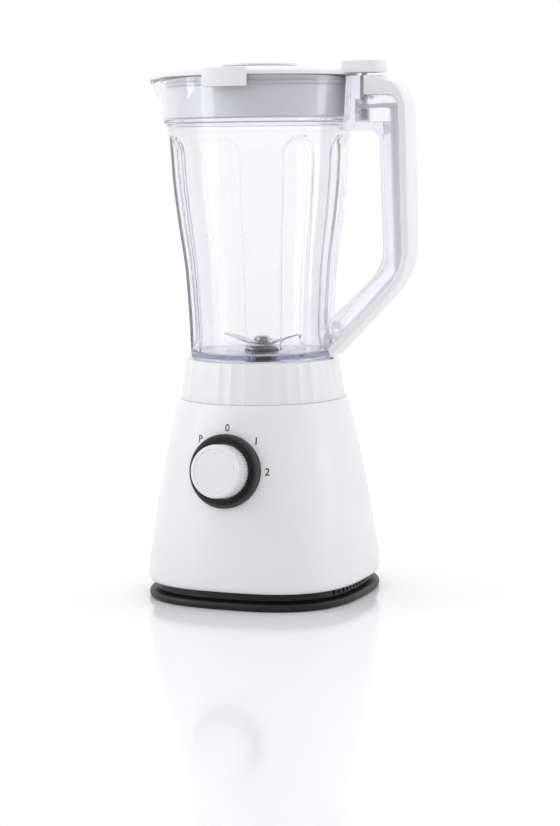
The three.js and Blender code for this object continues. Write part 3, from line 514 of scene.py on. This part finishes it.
# Flutes run round the outside only, past the plain radius
collarShape = {"facets": 36, "depth": 0.6 * mm, "plain": 53 * mm, "wall": 2.5 * mm, "ledge": 2.3 * mm,
               "headRadius": 58.5 * mm, "wellRadius": 30 * mm, "wellDepth": 15.5 * mm, "shaftHole": 5 * mm,
               "slotHalf": 3.3 * mm, "segments": 432}


def flute(radius, angle, z):
    shape = collarShape
    if radius < shape["plain"]:
        return radius
    pitch = 360 / shape["facets"]
    across = ((angle % pitch) / pitch - 0.5) * 2
    return radius - shape["depth"] * (1 - across ** 2)


def topCollar():
    shape = collarShape
    wall = shape["wall"]
    bottom, top = housingShape["topZ"] + 0.05 * mm, high("top_collar").z
    foot = housingShape["topRadius"] - shape["ledge"]
    head, well, hole = shape["headRadius"], shape["wellRadius"], shape["shaftHole"]
    wellFloor = top - shape["wellDepth"]
    corners = [
        (foot - wall, bottom, 0), (foot, bottom, 0.5 * mm), (head, top, 1.2 * mm), (well, top, 0.8 * mm),
        (well, wellFloor, 1.5 * mm), (hole, wellFloor, 0), (hole, wellFloor - wall, 0),
        (well + wall, wellFloor - wall, 0), (well + wall, top - wall, 0), (head - wall, top - wall, 0),
    ]
    profile = divided(roundedPath(corners, 4), 12 * mm)
    piece = turned("fluted_collar", profile, shape["segments"], "white_abs", flute)
    buttonX, half = high("interlock_button").x, shape["slotHalf"]
    slot = [(buttonX - 1.6 * mm, -half), (buttonX + 0.3 * mm, -half), (buttonX + 0.3 * mm, half),
            (buttonX - 1.6 * mm, half)]
    cut(piece, slab("button slot", slot, low("interlock_button").z, top + 5 * mm, "white_abs"))
    finish(piece, "top_collar", 20)


# holes gives the radius and depth of the recess for each screw and foot
plateShape = {
    "lip": 83 * mm, "recess": 76 * mm, "floor": 0.5 * mm, "lipTop": 5.6 * mm, "top": 24 * mm,
    "wall": 2.5 * mm, "slope": 1.2 * mm, "vents": 14, "ventPitch": 4.4, "ventLean": 18,
    "ventRadius": 80 * mm, "ventZ": 10.2 * mm, "ventSize": (20 * mm, 2 * mm, 5.2 * mm), "intakes": 8,
    "intakeRadius": 25 * mm, "intakeSize": (18 * mm, 3 * mm, 12 * mm), "segments": 160,
    "holes": {"base_screw_": (4.1 * mm, 4 * mm), "rubber_foot_": (6.3 * mm, 1.5 * mm)},
}


def basePlate():
    shape = plateShape
    floor, wall = shape["floor"], shape["wall"]
    corners = [
        (0, floor, 0), (shape["lip"], floor, 2.2 * mm), (shape["lip"], shape["lipTop"], 2.4 * mm),
        (shape["recess"], shape["lipTop"] + shape["slope"], 1.0 * mm), (shape["recess"], shape["top"], 0),
        (shape["recess"] - wall, shape["top"], 0), (shape["recess"] - wall, floor + wall, 0.6 * mm),
        (0, floor + wall, 0),
    ]
    profile = divided(roundedPath(corners, 5, closed=False), 9 * mm, closed=False)
    piece = turned("moulded_base_plate", profile, shape["segments"], "dark_abs", squared, closed=False)
    for side in (0, 180):
        first = side - (shape["vents"] - 1) / 2 * shape["ventPitch"]
        cut(piece, bars("vents", "dark_abs", {
            "Count": shape["vents"], "Radius": shape["ventRadius"], "Start Angle": math.radians(first),
            "Angle Step": math.radians(shape["ventPitch"]), "Start Height": shape["ventZ"],
            "Bar Size": shape["ventSize"], "Tilt": math.radians(shape["ventLean"])}))
    cut(piece, bars("intakes", "dark_abs", {
        "Count": shape["intakes"], "Radius": shape["intakeRadius"],
        "Angle Step": math.tau / shape["intakes"], "Bar Size": shape["intakeSize"]}))
    for i in range(4):
        for node, (radius, depth) in shape["holes"].items():
            centre = (low(f"{node}{i + 1}") + high(f"{node}{i + 1}")) / 2
            tool = cylinder("recess", radius, -1 * mm, depth, "dark_abs", 32)
            cut(piece, transformed(tool, Matrix.Translation((centre.x, centre.y, 0))))
    finish(piece, "base_plate", 32)
    # The plate's colour is darkened as painted shade for its recess
    piece.data.materials[0] = shadedBlackBase


bezelShape = {"hole": 5 * mm, "dish": 21.6 * mm, "neck": 23.3 * mm, "lip": 25.6 * mm, "outer": 27.5 * mm,
              "skirtZ": -5 * mm, "backZ": -1.2 * mm, "dishZ": 0.8 * mm, "lipZ": 3.9 * mm}


def knobBezel():
    shape = bezelShape
    corners = [
        (shape["hole"], shape["backZ"], 0), (shape["neck"], shape["backZ"], 0),
        (shape["neck"], shape["skirtZ"], 0), (shape["outer"], shape["skirtZ"], 0),
        (shape["outer"], shape["lipZ"] - 0.1 * mm, 1.6 * mm), (shape["lip"], shape["lipZ"], 1.2 * mm),
        (shape["dish"], shape["dishZ"], 1.2 * mm), (shape["hole"], shape["dishZ"], 0),
    ]
    profile = divided(roundedPath(corners, 6), 4 * mm)
    piece = transformed(turned("dished_bezel", profile, 160, "dark_abs"), knobPanel)
    finish(piece, "knob_bezel", 40)


# The face is a shallow disc inside a raised ring, and the hub is bored for the spindle
knobShape = {
    "radius": 19.75 * mm, "reach": 19.4 * mm, "bottom": 1.8 * mm, "wall": 2.2 * mm, "disc": 15.6 * mm,
    "discDepth": 0.2 * mm, "underFace": 16 * mm, "hub": 5.7 * mm, "hubBottom": 4 * mm, "bore": 3.4 * mm,
    "boreTop": 15 * mm, "dimple": 1.4 * mm, "dimpleAt": 13.2 * mm, "ribs": 50, "ribMiddle": 9.8 * mm,
    "ribSize": (1.0 * mm, 1.2 * mm, 14.6 * mm),
}


def knob():
    shape = knobShape
    side, reach, disc = shape["radius"] - shape["ribSize"][0] / 2, shape["reach"], shape["disc"]
    inside, under, bottom = side - shape["wall"], shape["underFace"], shape["bottom"]
    corners = [
        (0, reach - shape["discDepth"], 0), (disc, reach - shape["discDepth"], 0.3 * mm),
        (disc + 0.3 * mm, reach - 0.55 * mm, 0.1 * mm), (disc + 0.7 * mm, reach, 0.2 * mm),
        (side, reach, 1.5 * mm), (side, bottom, 0.4 * mm), (inside, bottom, 0.3 * mm),
        (inside, under, 1 * mm), (shape["hub"], under, 0), (shape["hub"], shape["hubBottom"], 0),
        (shape["bore"], shape["hubBottom"], 0), (shape["bore"], shape["boreTop"], 0),
        (0, shape["boreTop"], 0),
    ]
    profile = divided(roundedPath(corners, 6, closed=False), 3 * mm, closed=False)
    body = turned("knob body", profile, 144, "white_abs", closed=False)
    dimple = bpy.data.meshes.new("dimple")
    bm = bmesh.new()
    bmesh.ops.create_uvsphere(bm, u_segments=24, v_segments=12, radius=shape["dimple"])
    bm.to_mesh(dimple)
    bm.free()
    tool = placePiece("dimple", dimple, "white_abs")
    cut(body, transformed(tool, Matrix.Translation((0, shape["dimpleAt"], reach + 0.6 * mm))))
    ribs = bars("knob ribs", "white_abs", {
        "Count": shape["ribs"], "Radius": side, "Angle Step": math.tau / shape["ribs"],
        "Start Height": shape["ribMiddle"], "Bar Size": shape["ribSize"]})
    piece = joined("knurled_knob", [body, ribs], "white_abs")
    finish(transformed(piece, knobPanel), "knob", 35)


# Marks printed on the housing round the knob, each laid on the curved side. Their angles are in degrees
# round the knob, from the top.
dialMarks = {"angles": {"P": 45, "0": 0, "1": -45, "2": -90}, "size": 7.6 * mm, "radius": 31.8 * mm,
             "boldness": 0.1 * mm, "narrow": 0.95, "proud": 0.06 * mm, "sunk": 0.3 * mm}


def dialPrint():
    shape = dialMarks
    pieces = []
    for mark, angle in shape["angles"].items():
        curve = bpy.data.curves.new("mark " + mark, "FONT")
        curve.body = mark
        curve.size = shape["size"]
        curve.align_x = "CENTER"
        curve.align_y = "CENTER"
        curve.extrude = shape["boldness"]
        curve.offset = shape["boldness"]
        text = bpy.data.objects.new("mark " + mark, curve)
        bpy.context.scene.collection.objects.link(text)
        graph = bpy.context.evaluated_depsgraph_get()
        mesh = bpy.data.meshes.new_from_object(text.evaluated_get(graph))
        bpy.data.objects.remove(text)
        turn = math.radians(90 + angle)
        centre = (shape["radius"] * math.cos(turn), shape["radius"] * math.sin(turn))
        for vertex in mesh.vertices:
            u, v, w = vertex.co
            point = knobPanel @ Vector((centre[0] + u * shape["narrow"], centre[1] + v, 0))
            power, radius = squarePower(point.z), housingRadius(point.z)
            depth = (radius ** power - abs(point.x) ** power) ** (1 / power)
            proud = shape["proud"] if w > 0 else -shape["sunk"]
            vertex.co = (point.x, -depth - proud, point.z)
        pieces.append(placePiece("mark", mesh, "dark_abs"))
    piece = joined("dial_marks", pieces, "dark_abs")
    piece.data.materials[0] = printInk
    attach(piece, "base")


housing()
topCollar()
basePlate()
knobBezel()
knob()
dialPrint()
print("motor base made")

# ---- jug

jugShape = {
    "foot": 54.5 * mm, "footZ": high("top_collar").z + 0.3 * mm, "rim": 74.4 * mm, "rimZ": high("jug").z,
    "belt": 72.2 * mm, "beltHeight": 33.6 * mm, "beltStep": 2.2 * mm, "wall": 2.4 * mm,
    "floor": 4.7 * mm, "underside": 1.7 * mm, "footRing": 3.3 * mm, "bushHole": 9 * mm, "skirt": 28.5 * mm,
    "skirtInside": 26.1 * mm, "channels": (48, 132, -132, -48), "channelDepth": 3.5 * mm,
    "channelHalf": 11.6, "channelEdge": 3.2, "channelTop": 0.94, "channelHead": 12 * mm,
    "channelStart": 5 * mm, "channelFade": 10 * mm, "plain": 45.5 * mm, "spout": 17.1 * mm,
    "spoutHalf": 20, "rows": 74, "segments": 360,
}
# How far up the side, and how far out from the foot towards the belt, as shares
jugFlare = [(0, 0.0), (0.092, 0.032), (0.223, 0.097), (0.405, 0.245), (0.581, 0.516), (0.758, 0.742),
            (0.906, 0.852), (1, 0.995)]
beltZ = jugShape["rimZ"] - jugShape["beltHeight"]


def softShare(t):
    t = min(max(t, 0), 1)
    return t * t * (3 - 2 * t)


# A smooth curve through the flare's points, with slopes taken from their neighbours
def flareAt(share):
    points = jugFlare
    i = max(k for k in range(len(points) - 1) if points[k][0] <= min(max(share, 0), 0.9999))

    def slope(k):
        a, b = points[max(k - 1, 0)], points[min(k + 1, len(points) - 1)]
        return (b[1] - a[1]) / (b[0] - a[0])

    (x0, y0), (x1, y1) = points[i], points[i + 1]
    width = x1 - x0
    t = (share - x0) / width
    return ((2 * t ** 3 - 3 * t * t + 1) * y0 + (t ** 3 - 2 * t * t + t) * width * slope(i)
            + (3 * t * t - 2 * t ** 3) * y1 + (t ** 3 - t * t) * width * slope(i + 1))


def jugSide(z):
    share = (z - jugShape["footZ"]) / (beltZ - 1 * mm - jugShape["footZ"])
    return jugShape["foot"] + (jugShape["belt"] - jugShape["beltStep"] - jugShape["foot"]) * flareAt(share)


def spoutAt(angle, z, reach):
    up = min(max((z - beltZ) / jugShape["beltHeight"], 0), 1)
    away = math.sqrt((angle + 90) ** 2 + 1.5) - 1.2  # degrees from the spout's middle, with its tip rounded
    side = max(0, 1 - max(away, 0) / jugShape["spoutHalf"])
    return reach * up * side ** 1.5


def jugWall(radius, angle, z):
    shape = jugShape
    if radius < shape["plain"]:
        return radius
    across = min(abs(angle - centre) for centre in shape["channels"])
    topZ = shape["footZ"] + shape["channelTop"] * (beltZ - 1 * mm - shape["footZ"])
    below, head, half = topZ - z, shape["channelHead"], shape["channelHalf"]
    # The channel's head is round, so its half width shrinks towards the top
    if below < head:
        half *= math.sqrt(max(0, 1 - ((head - below) / head) ** 2)) if below > 0 else 0
    inChannel = softShare((half - across) / shape["channelEdge"]) if half > 0 else 0
    up = softShare((z - shape["footZ"] - shape["channelStart"]) / shape["channelFade"])
    return radius - shape["channelDepth"] * inChannel * up + spoutAt(angle, z, shape["spout"])


def jug():
    shape = jugShape
    wall, foot, footZ = shape["wall"], shape["foot"], shape["footZ"]
    floorZ, underZ, rows = footZ + shape["floor"], footZ + shape["underside"], shape["rows"]
    sideZ = [footZ + 6 * mm + (beltZ - 2 * mm - footZ - 6 * mm) * i / rows for i in range(rows + 1)]
    outer = [(foot - 1.1 * mm, footZ), (foot - 0.3 * mm, footZ + 0.4 * mm), (foot, footZ + 1.4 * mm)]
    outer += [(jugSide(z), z) for z in sideZ]
    step = roundedPath([(shape["belt"] - shape["beltStep"], beltZ - 1.5 * mm, 0),
                        (shape["belt"] - shape["beltStep"], beltZ - 0.6 * mm, 0.5 * mm),
                        (shape["belt"], beltZ + 0.2 * mm, 0.7 * mm),
                        (shape["belt"], beltZ + 2 * mm, 0)], 4, closed=False)
    outer += step[1:]
    band = [(shape["belt"] + (shape["rim"] - shape["belt"]) * i / 12, beltZ + shape["beltHeight"] * i / 12)
            for i in range(1, 12)]
    outer += band
    rim = [(shape["rim"] - 0.05 * mm, shape["rimZ"] - 0.8 * mm), (shape["rim"] - 0.7 * mm, shape["rimZ"]),
           (shape["rim"] - wall + 0.7 * mm, shape["rimZ"]), (shape["rim"] - wall, shape["rimZ"] - 0.8 * mm)]
    innerBand = [(r - wall, z) for r, z in reversed(band)]
    innerStep = [(shape["belt"] - wall, beltZ + 1.9 * mm), (shape["belt"] - shape["beltStep"] - wall, beltZ)]
    inner = [(jugSide(z) - wall, z) for z in reversed(sideZ) if z > floorZ + 5 * mm]
    corner = roundedPath([(foot - wall + 0.2 * mm, floorZ + 5 * mm, 0), (foot - wall, floorZ, 4.5 * mm),
                          (foot - 14 * mm, floorZ, 0)], 8, closed=False)
    hole, skirtIn, skirt, bottom = shape["bushHole"], shape["skirtInside"], shape["skirt"], low("jug").z
    ring = foot - shape["footRing"]
    floor = [(hole, floorZ), (hole, underZ), (skirtIn, underZ), (skirtIn, bottom + 0.3 * mm),
             (skirtIn + 0.5 * mm, bottom), (skirt - 0.5 * mm, bottom), (skirt, bottom + 0.5 * mm),
             (skirt, underZ), (ring, underZ), (ring, footZ)]
    profile = outer + rim + innerBand + innerStep + inner + corner[1:] + floor
    piece = turned("clear_jug", profile, shape["segments"], "clear_plastic", jugWall)
    finish(piece, "jug", 60)


# Raised marks up the front of the jug, every fourth one long
scaleShape = {"count": 23, "every": 4, "from": 222 * mm, "to": 332 * mm, "long": 8 * mm, "short": 4 * mm,
              "bar": 0.5 * mm, "angle": 12}


def jugScale():
    shape = scaleShape
    pieces = []
    for i in range(shape["count"]):
        z = shape["from"] + (shape["to"] - shape["from"]) * i / (shape["count"] - 1)
        length = shape["short"] if i % shape["every"] else shape["long"]
        pieces.append(bars("tick", "clear_plastic", {
            "Count": 1, "Radius": jugSide(z) + 0.02 * mm, "Start Angle": math.radians(shape["angle"] - 90),
            "Start Height": z, "Bar Size": (shape["bar"], length, shape["bar"])}))
    piece = joined("jug_scale", pieces, "clear_plastic")
    smooth(piece)
    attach(piece, "jug")


jug()
jugScale()
print("jug made")

# ---- handle

frameSkin = finish(eased("handle_frame", 0.9 * mm, 3, 30, "clear_handle_frame"), "handle_frame", 50)
frameSkin.data.materials[0] = hazyPlastic

# The cover runs from the arm, over the corner and down the back of the grip to the jug's foot. Its corners
# are x, z and radius in millimetres.
coverShape = {"width": high("handle_cover").y - low("handle_cover").y, "edge": 1.8 * mm, "corners": [
    (88, 376.3, 0), (88, 390.8, 1), (97, 390.8, 2), (98.5, 387.6, 2), (112.5, 385.5, 8), (120.2, 372, 8),
    (122.5, 245.4, 24), (60.8, 183.2, 0), (57.8, 188, 0), (117.3, 246, 18), (114.3, 376.3, 9)]}


def handleCover():
    shape = coverShape
    path = roundedPath([(x * mm, z * mm, radius * mm) for x, z, radius in shape["corners"]], 10)
    piece = slab("moulded_handle_cover", path, -shape["width"] / 2, shape["width"] / 2, "white_abs")
    transformed(piece, Matrix.Rotation(math.radians(90), 4, "X"))
    finish(bevel(piece, shape["edge"], 5, 35), "handle_cover", 40)


# Grip ribs on the slider's strip inside the handle
ribShape = {"count": 9, "x": 107.5 * mm, "from": 302 * mm, "step": 4.8 * mm,
            "size": (2.4 * mm, 6.6 * mm, 1 * mm)}


def sliderRibs():
    shape = ribShape
    piece = bars("slider_ribs", "white_abs", {
        "Count": shape["count"], "Radius": shape["x"], "Start Height": shape["from"],
        "Height Step": shape["step"], "Bar Size": shape["size"]})
    smooth(piece)
    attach(piece, "interlock_slider")


handleCover()
sliderRibs()
finish(eased("interlock_slider", 0.3 * mm, 2, 30, "moulded_slider"), "interlock_slider", 40)
finish(eased("interlock_button", 0.3 * mm, 2, 30, "moulded_button"), "interlock_button", 40)


springShape = {"turns": 5, "radius": 3.35 * mm, "wire": 0.4 * mm, "steps": 24, "sides": 10}


def interlockSpring():
    shape = springShape
    lowZ, highZ = low("interlock_spring").z + shape["wire"], high("interlock_spring").z - shape["wire"]
    centreX = (low("interlock_spring").x + high("interlock_spring").x) / 2
    count = shape["turns"] * shape["steps"]
    vertices, faces = [], []
    for i in range(count + 1):
        t = i / count
        turn = t * shape["turns"] * math.tau
        for j in range(shape["sides"]):
            around = math.tau * j / shape["sides"]
            radius = shape["radius"] + shape["wire"] * math.cos(around)
            vertices.append((centreX + radius * math.cos(turn), radius * math.sin(turn),
                             lowZ + (highZ - lowZ) * t + shape["wire"] * math.sin(around)))
    sides = shape["sides"]
    for i in range(count):
        for j in range(sides):
            k = (j + 1) % sides
            faces.append((i * sides + j, i * sides + k, (i + 1) * sides + k, (i + 1) * sides + j))
    faces.append(tuple(range(sides)))
    faces.append(tuple(reversed(range(count * sides, (count + 1) * sides))))
    piece = smooth(facedOut(newPiece("coiled_spring", vertices, faces, "zinc_steel")), 50)
    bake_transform(piece)
    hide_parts("interlock_spring")


interlockSpring()
print("handle made")

# ---- blades, couplings and cord inlet

edgeWidths = {"blade_upper": 0.35, "blade_lower": 0.35, "blade_cap_nut": 0.6, "blade_seal": 0.2,
              "blade_locknut": 0.5, "blade_bearing_housing": 0.5, "jug_coupling": 0.5, "drive_coupling": 0.5,
              "cord_inlet": 0.5}  # millimetres
for node, width in edgeWidths.items():
    finish(eased(node, width * mm, 2, 28), node, 40)
print("blades made")

# ---- lid

# The tab's angles are in degrees, and its heights are from the jug's rim
lidShape = {
    "throat": 24.8 * mm, "throatDepth": 8.5 * mm, "overhang": 1.4 * mm, "top": high("filler_cap").z - 2 * mm,
    "plug": 69.2 * mm, "wall": 2.2 * mm, "segments": 240, "tabHalf": 12.5, "tabTurn": 4, "tabSteps": 12,
    "tabBottom": -8.2 * mm, "tabTop": 5.4 * mm, "tabInner": 0.7 * mm, "tabOuter": 5.1 * mm,
    "tongueStart": 71 * mm, "tongueWidth": 26 * mm, "tongueThickness": 8.9 * mm,
}


def lidEdge(radius, angle, z):
    if radius < lidShape["plug"] + 1 * mm:
        return radius
    return radius + spoutAt(angle, jugShape["rimZ"], jugShape["spout"] - 1.5 * mm)


def lid():
    shape = lidShape
    rim, plug, top = jugShape["rim"] + shape["overhang"], shape["plug"], shape["top"]
    rimZ, throat, bottom, wall = jugShape["rimZ"] + 0.3 * mm, shape["throat"], low("lid").z, shape["wall"]
    sleeveZ = rimZ - shape["throatDepth"]
    corners = [
        (throat, top, 0.8 * mm), (34 * mm, top - 0.2 * mm, 0), (rim - 1.6 * mm, top - 4.4 * mm, 1.4 * mm),
        (rim, top - 5.6 * mm, 1.0 * mm), (rim, rimZ, 0.5 * mm), (plug, rimZ, 0.6 * mm),
        (plug, bottom, 0.6 * mm),
        (plug - wall, bottom, 0.6 * mm), (plug - wall, top - 6.1 * mm, 1 * mm),
        (throat + wall, top - 2.8 * mm, 1 * mm), (throat + wall, sleeveZ, 0.5 * mm),
        (throat, sleeveZ, 0.5 * mm),
    ]
    profile = divided(roundedPath(corners, 5), 8 * mm)
    plate = turned("lid plate", profile, shape["segments"], "white_abs", lidEdge)
    inner, outer = jugShape["rim"] + shape["tabInner"], jugShape["rim"] + shape["tabOuter"]
    steps = shape["tabSteps"]
    angles = [-90 + shape["tabTurn"] + shape["tabHalf"] * (i / steps - 1) for i in range(2 * steps + 1)]
    arc = [(math.cos(math.radians(a)), math.sin(math.radians(a))) for a in angles]
    path = [(outer * x, outer * y) for x, y in arc] + [(inner * x, inner * y) for x, y in reversed(arc)]
    tab = slab("tab", path, jugShape["rimZ"] + shape["tabBottom"], jugShape["rimZ"] + shape["tabTop"],
               "white_abs")
    tab = bevel(tab, 0.9 * mm, 4, 50)
    half, start = shape["tongueWidth"] / 2, shape["tongueStart"]
    end = high("lid").x - half
    turns = [math.radians(a) for a in range(-90, 91, 6)]
    head = [(end + half * math.cos(turn), half * math.sin(turn)) for turn in turns]
    tongue = slab("tongue", [(start, -half)] + head + [(start, half)],
                  high("lid").z - shape["tongueThickness"], high("lid").z, "white_abs")
    tongue = bevel(tongue, 1.2 * mm, 4, 50)
    piece = joined("moulded_lid", [plate, tab, tongue], "white_abs")
    finish(piece, "lid", 40)


capShape = {"plug": 24.3 * mm, "head": 29.2 * mm, "wall": 2 * mm, "segments": 160}


def fillerCap():
    shape = capShape
    plug, head, wall = shape["plug"], shape["head"], shape["wall"]
    bottom, top = low("filler_cap").z, high("filler_cap").z
    under, ceiling = lidShape["top"] + 0.3 * mm, lidShape["top"] - 0.4 * mm
    corners = [
        (0, top, 0), (head, top, 1.4 * mm), (head, under, 0.4 * mm), (plug, under, 0.3 * mm),
        (plug, bottom, 0.5 * mm), (plug - wall, bottom, 0.5 * mm), (plug - wall, ceiling, 1 * mm),
        (0, ceiling, 0),
    ]
    profile = divided(roundedPath(corners, 5, closed=False), 4 * mm, closed=False)
    piece = turned("moulded_filler_cap", profile, shape["segments"], "white_abs", closed=False)
    finish(piece, "filler_cap", 40)


sealShape = {"inner": 69.5 * mm, "width": 1.6 * mm, "height": 4 * mm, "slope": 1 * mm, "segments": 180}


def lidSeal():
    shape = sealShape
    inner, outer, slope = shape["inner"], shape["inner"] + shape["width"], shape["slope"]
    bottom, top = low("lid_seal").z, low("lid_seal").z + shape["height"]
    corners = [(inner, bottom, 0.3 * mm), (outer, bottom + slope, 0.8 * mm), (outer, top - slope, 0.8 * mm),
               (inner, top, 0.3 * mm)]
    piece = turned("moulded_lid_seal", roundedPath(corners, 5), shape["segments"], "white_silicone")
    finish(piece, "lid_seal", 50)


lid()
fillerCap()
lidSeal()
print("lid made")

# ---- CAD nodes that stay as they are

for name, node in frame["nodes"].items():
    node.data.materials.clear()
    node.data.materials.append(materials[slotOf[name]])

# ---- studio

# The studio is a white sweep lit from behind and from both sides, and darker on the camera's side
studioLook = {"toward": (0.39, -0.92, 0.05), "behind": 1.12, "front": 0.8, "through": 1.1, "dim": 0.12,
              "floor": "#F3F3F5", "shine": 0.12, "floorSize": 6.0, "floorDrop": 0.2 * mm, "aim": (0, 0, 0.2),
              "roomSpan": (-0.2, 0.85), "glassSpan": (-0.75, 0.0)}  # of the turn from behind to the front
lamps = {
    "key": {"place": (-1.45, -0.75, 0.9), "size": (0.4, 1.4), "energy": 5.4},
    "rim": {"place": (1.5, 0.35, 0.8), "size": (0.5, 1.4), "energy": 3.8},
    "reflector card": {"place": (-1.0, -1.2, 0.6), "size": (0.5, 1.2), "energy": 4.2},
}


def areaLight(name):
    lamp = lamps[name]
    light = bpy.data.lights.new(name, "AREA")
    light.shape = "RECTANGLE"
    light.size, light.size_y = lamp["size"]
    light.energy = lamp["energy"]
    holder = bpy.data.objects.new(name, light)
    bpy.context.scene.collection.objects.link(holder)
    holder.location = lamp["place"]
    aim = Vector(studioLook["aim"]) - Vector(lamp["place"])
    holder.rotation_euler = aim.to_track_quat("-Z", "Y").to_euler()
    return holder


def studio():
    look = studioLook
    world = bpy.data.worlds.new("white studio")
    bpy.context.scene.world = world
    world.use_nodes = True
    world.node_tree.nodes.clear()
    toward = Vector(look["toward"]).normalized()
    heading = addNode(world, "ShaderNodeTexCoord").outputs["Generated"]
    facing = addNode(world, "ShaderNodeVectorMath", {0: heading, 1: toward}, operation="DOT_PRODUCT")
    room = addNode(world, "ShaderNodeMapRange", {
        "Value": facing.outputs["Value"], "From Min": look["roomSpan"][0], "From Max": look["roomSpan"][1],
        "To Min": look["behind"], "To Max": look["front"]}, interpolation_type="SMOOTHSTEP")
    seen = addNode(world, "ShaderNodeMapRange", {
        "Value": facing.outputs["Value"], "From Min": look["glassSpan"][0], "From Max": look["glassSpan"][1],
        "To Min": look["through"], "To Max": look["dim"]}, interpolation_type="SMOOTHSTEP")

    def background(strength):
        return addNode(world, "ShaderNodeBackground", {"Color": (1, 1, 1, 1), "Strength": strength})

    white = background(1.0)
    soft = background(room.outputs["Result"])
    glass = background(seen.outputs["Result"])
    # Only what is seen straight through the jug meets the glass background, not the light on the lid's plug
    path = addNode(world, "ShaderNodeLightPath")
    direct = addNode(world, "ShaderNodeMath", {0: path.outputs["Diffuse Depth"], 1: 0.5},
                     operation="LESS_THAN")
    clear = addNode(world, "ShaderNodeMath", {
        0: path.outputs["Is Transmission Ray"], 1: direct.outputs["Value"]}, operation="MULTIPLY")
    bent = addNode(world, "ShaderNodeMixShader", {
        0: clear.outputs["Value"], 1: soft.outputs["Background"], 2: glass.outputs["Background"]})
    mixed = addNode(world, "ShaderNodeMixShader", {
        0: path.outputs["Is Camera Ray"], 1: bent.outputs["Shader"], 2: white.outputs["Background"]})
    addNode(world, "ShaderNodeOutputWorld", {"Surface": mixed.outputs["Shader"]})
    bpy.context.scene.view_settings.view_transform = "Standard"
    size, z = look["floorSize"], -look["floorDrop"]
    corners = [(-size, -size, z), (size, -size, z), (size, size, z), (-size, size, z)]
    floor = newPiece("floor", corners, [(0, 1, 2, 3)], "white_abs")
    paper = newMaterial("white acrylic sheet")
    shader = addNode(paper, "ShaderNodeBsdfPrincipled", {
        "Base Color": linear(look["floor"]), "Roughness": look["shine"], "Specular IOR Level": 0.35})
    addNode(paper, "ShaderNodeOutputMaterial", {"Surface": shader.outputs["BSDF"]})
    floor.data.materials[0] = paper
    areaLight("key")
    areaLight("rim")
    # The card is only seen as a soft streak in gloss and clear plastic
    areaLight("reflector card").visible_diffuse = False


# Metres, degrees and the lens in millimetres
cameraSetup = {"distance": 1.6, "height": 0.335, "azimuth": 23.1, "aside": -0.457, "down": 7.063,
               "roll": -0.72, "lens": 91.56}


def camera():
    view = bpy.data.cameras.new("camera")
    view.lens = cameraSetup["lens"]
    view.sensor_width = 36.0
    holder = bpy.data.objects.new("camera", view)
    bpy.context.scene.collection.objects.link(holder)
    azimuth = math.radians(cameraSetup["azimuth"])
    place = Matrix.Translation((cameraSetup["distance"] * math.sin(azimuth),
                                -cameraSetup["distance"] * math.cos(azimuth), cameraSetup["height"]))
    heading = Matrix.Rotation(azimuth + math.radians(cameraSetup["aside"]), 4, "Z")
    pitch = Matrix.Rotation(math.radians(90 - cameraSetup["down"]), 4, "X")
    roll = Matrix.Rotation(math.radians(cameraSetup["roll"]), 4, "Z")
    holder.matrix_world = place @ heading @ pitch @ roll
    bpy.context.scene.camera = holder


studio()
camera()
print("studio made")
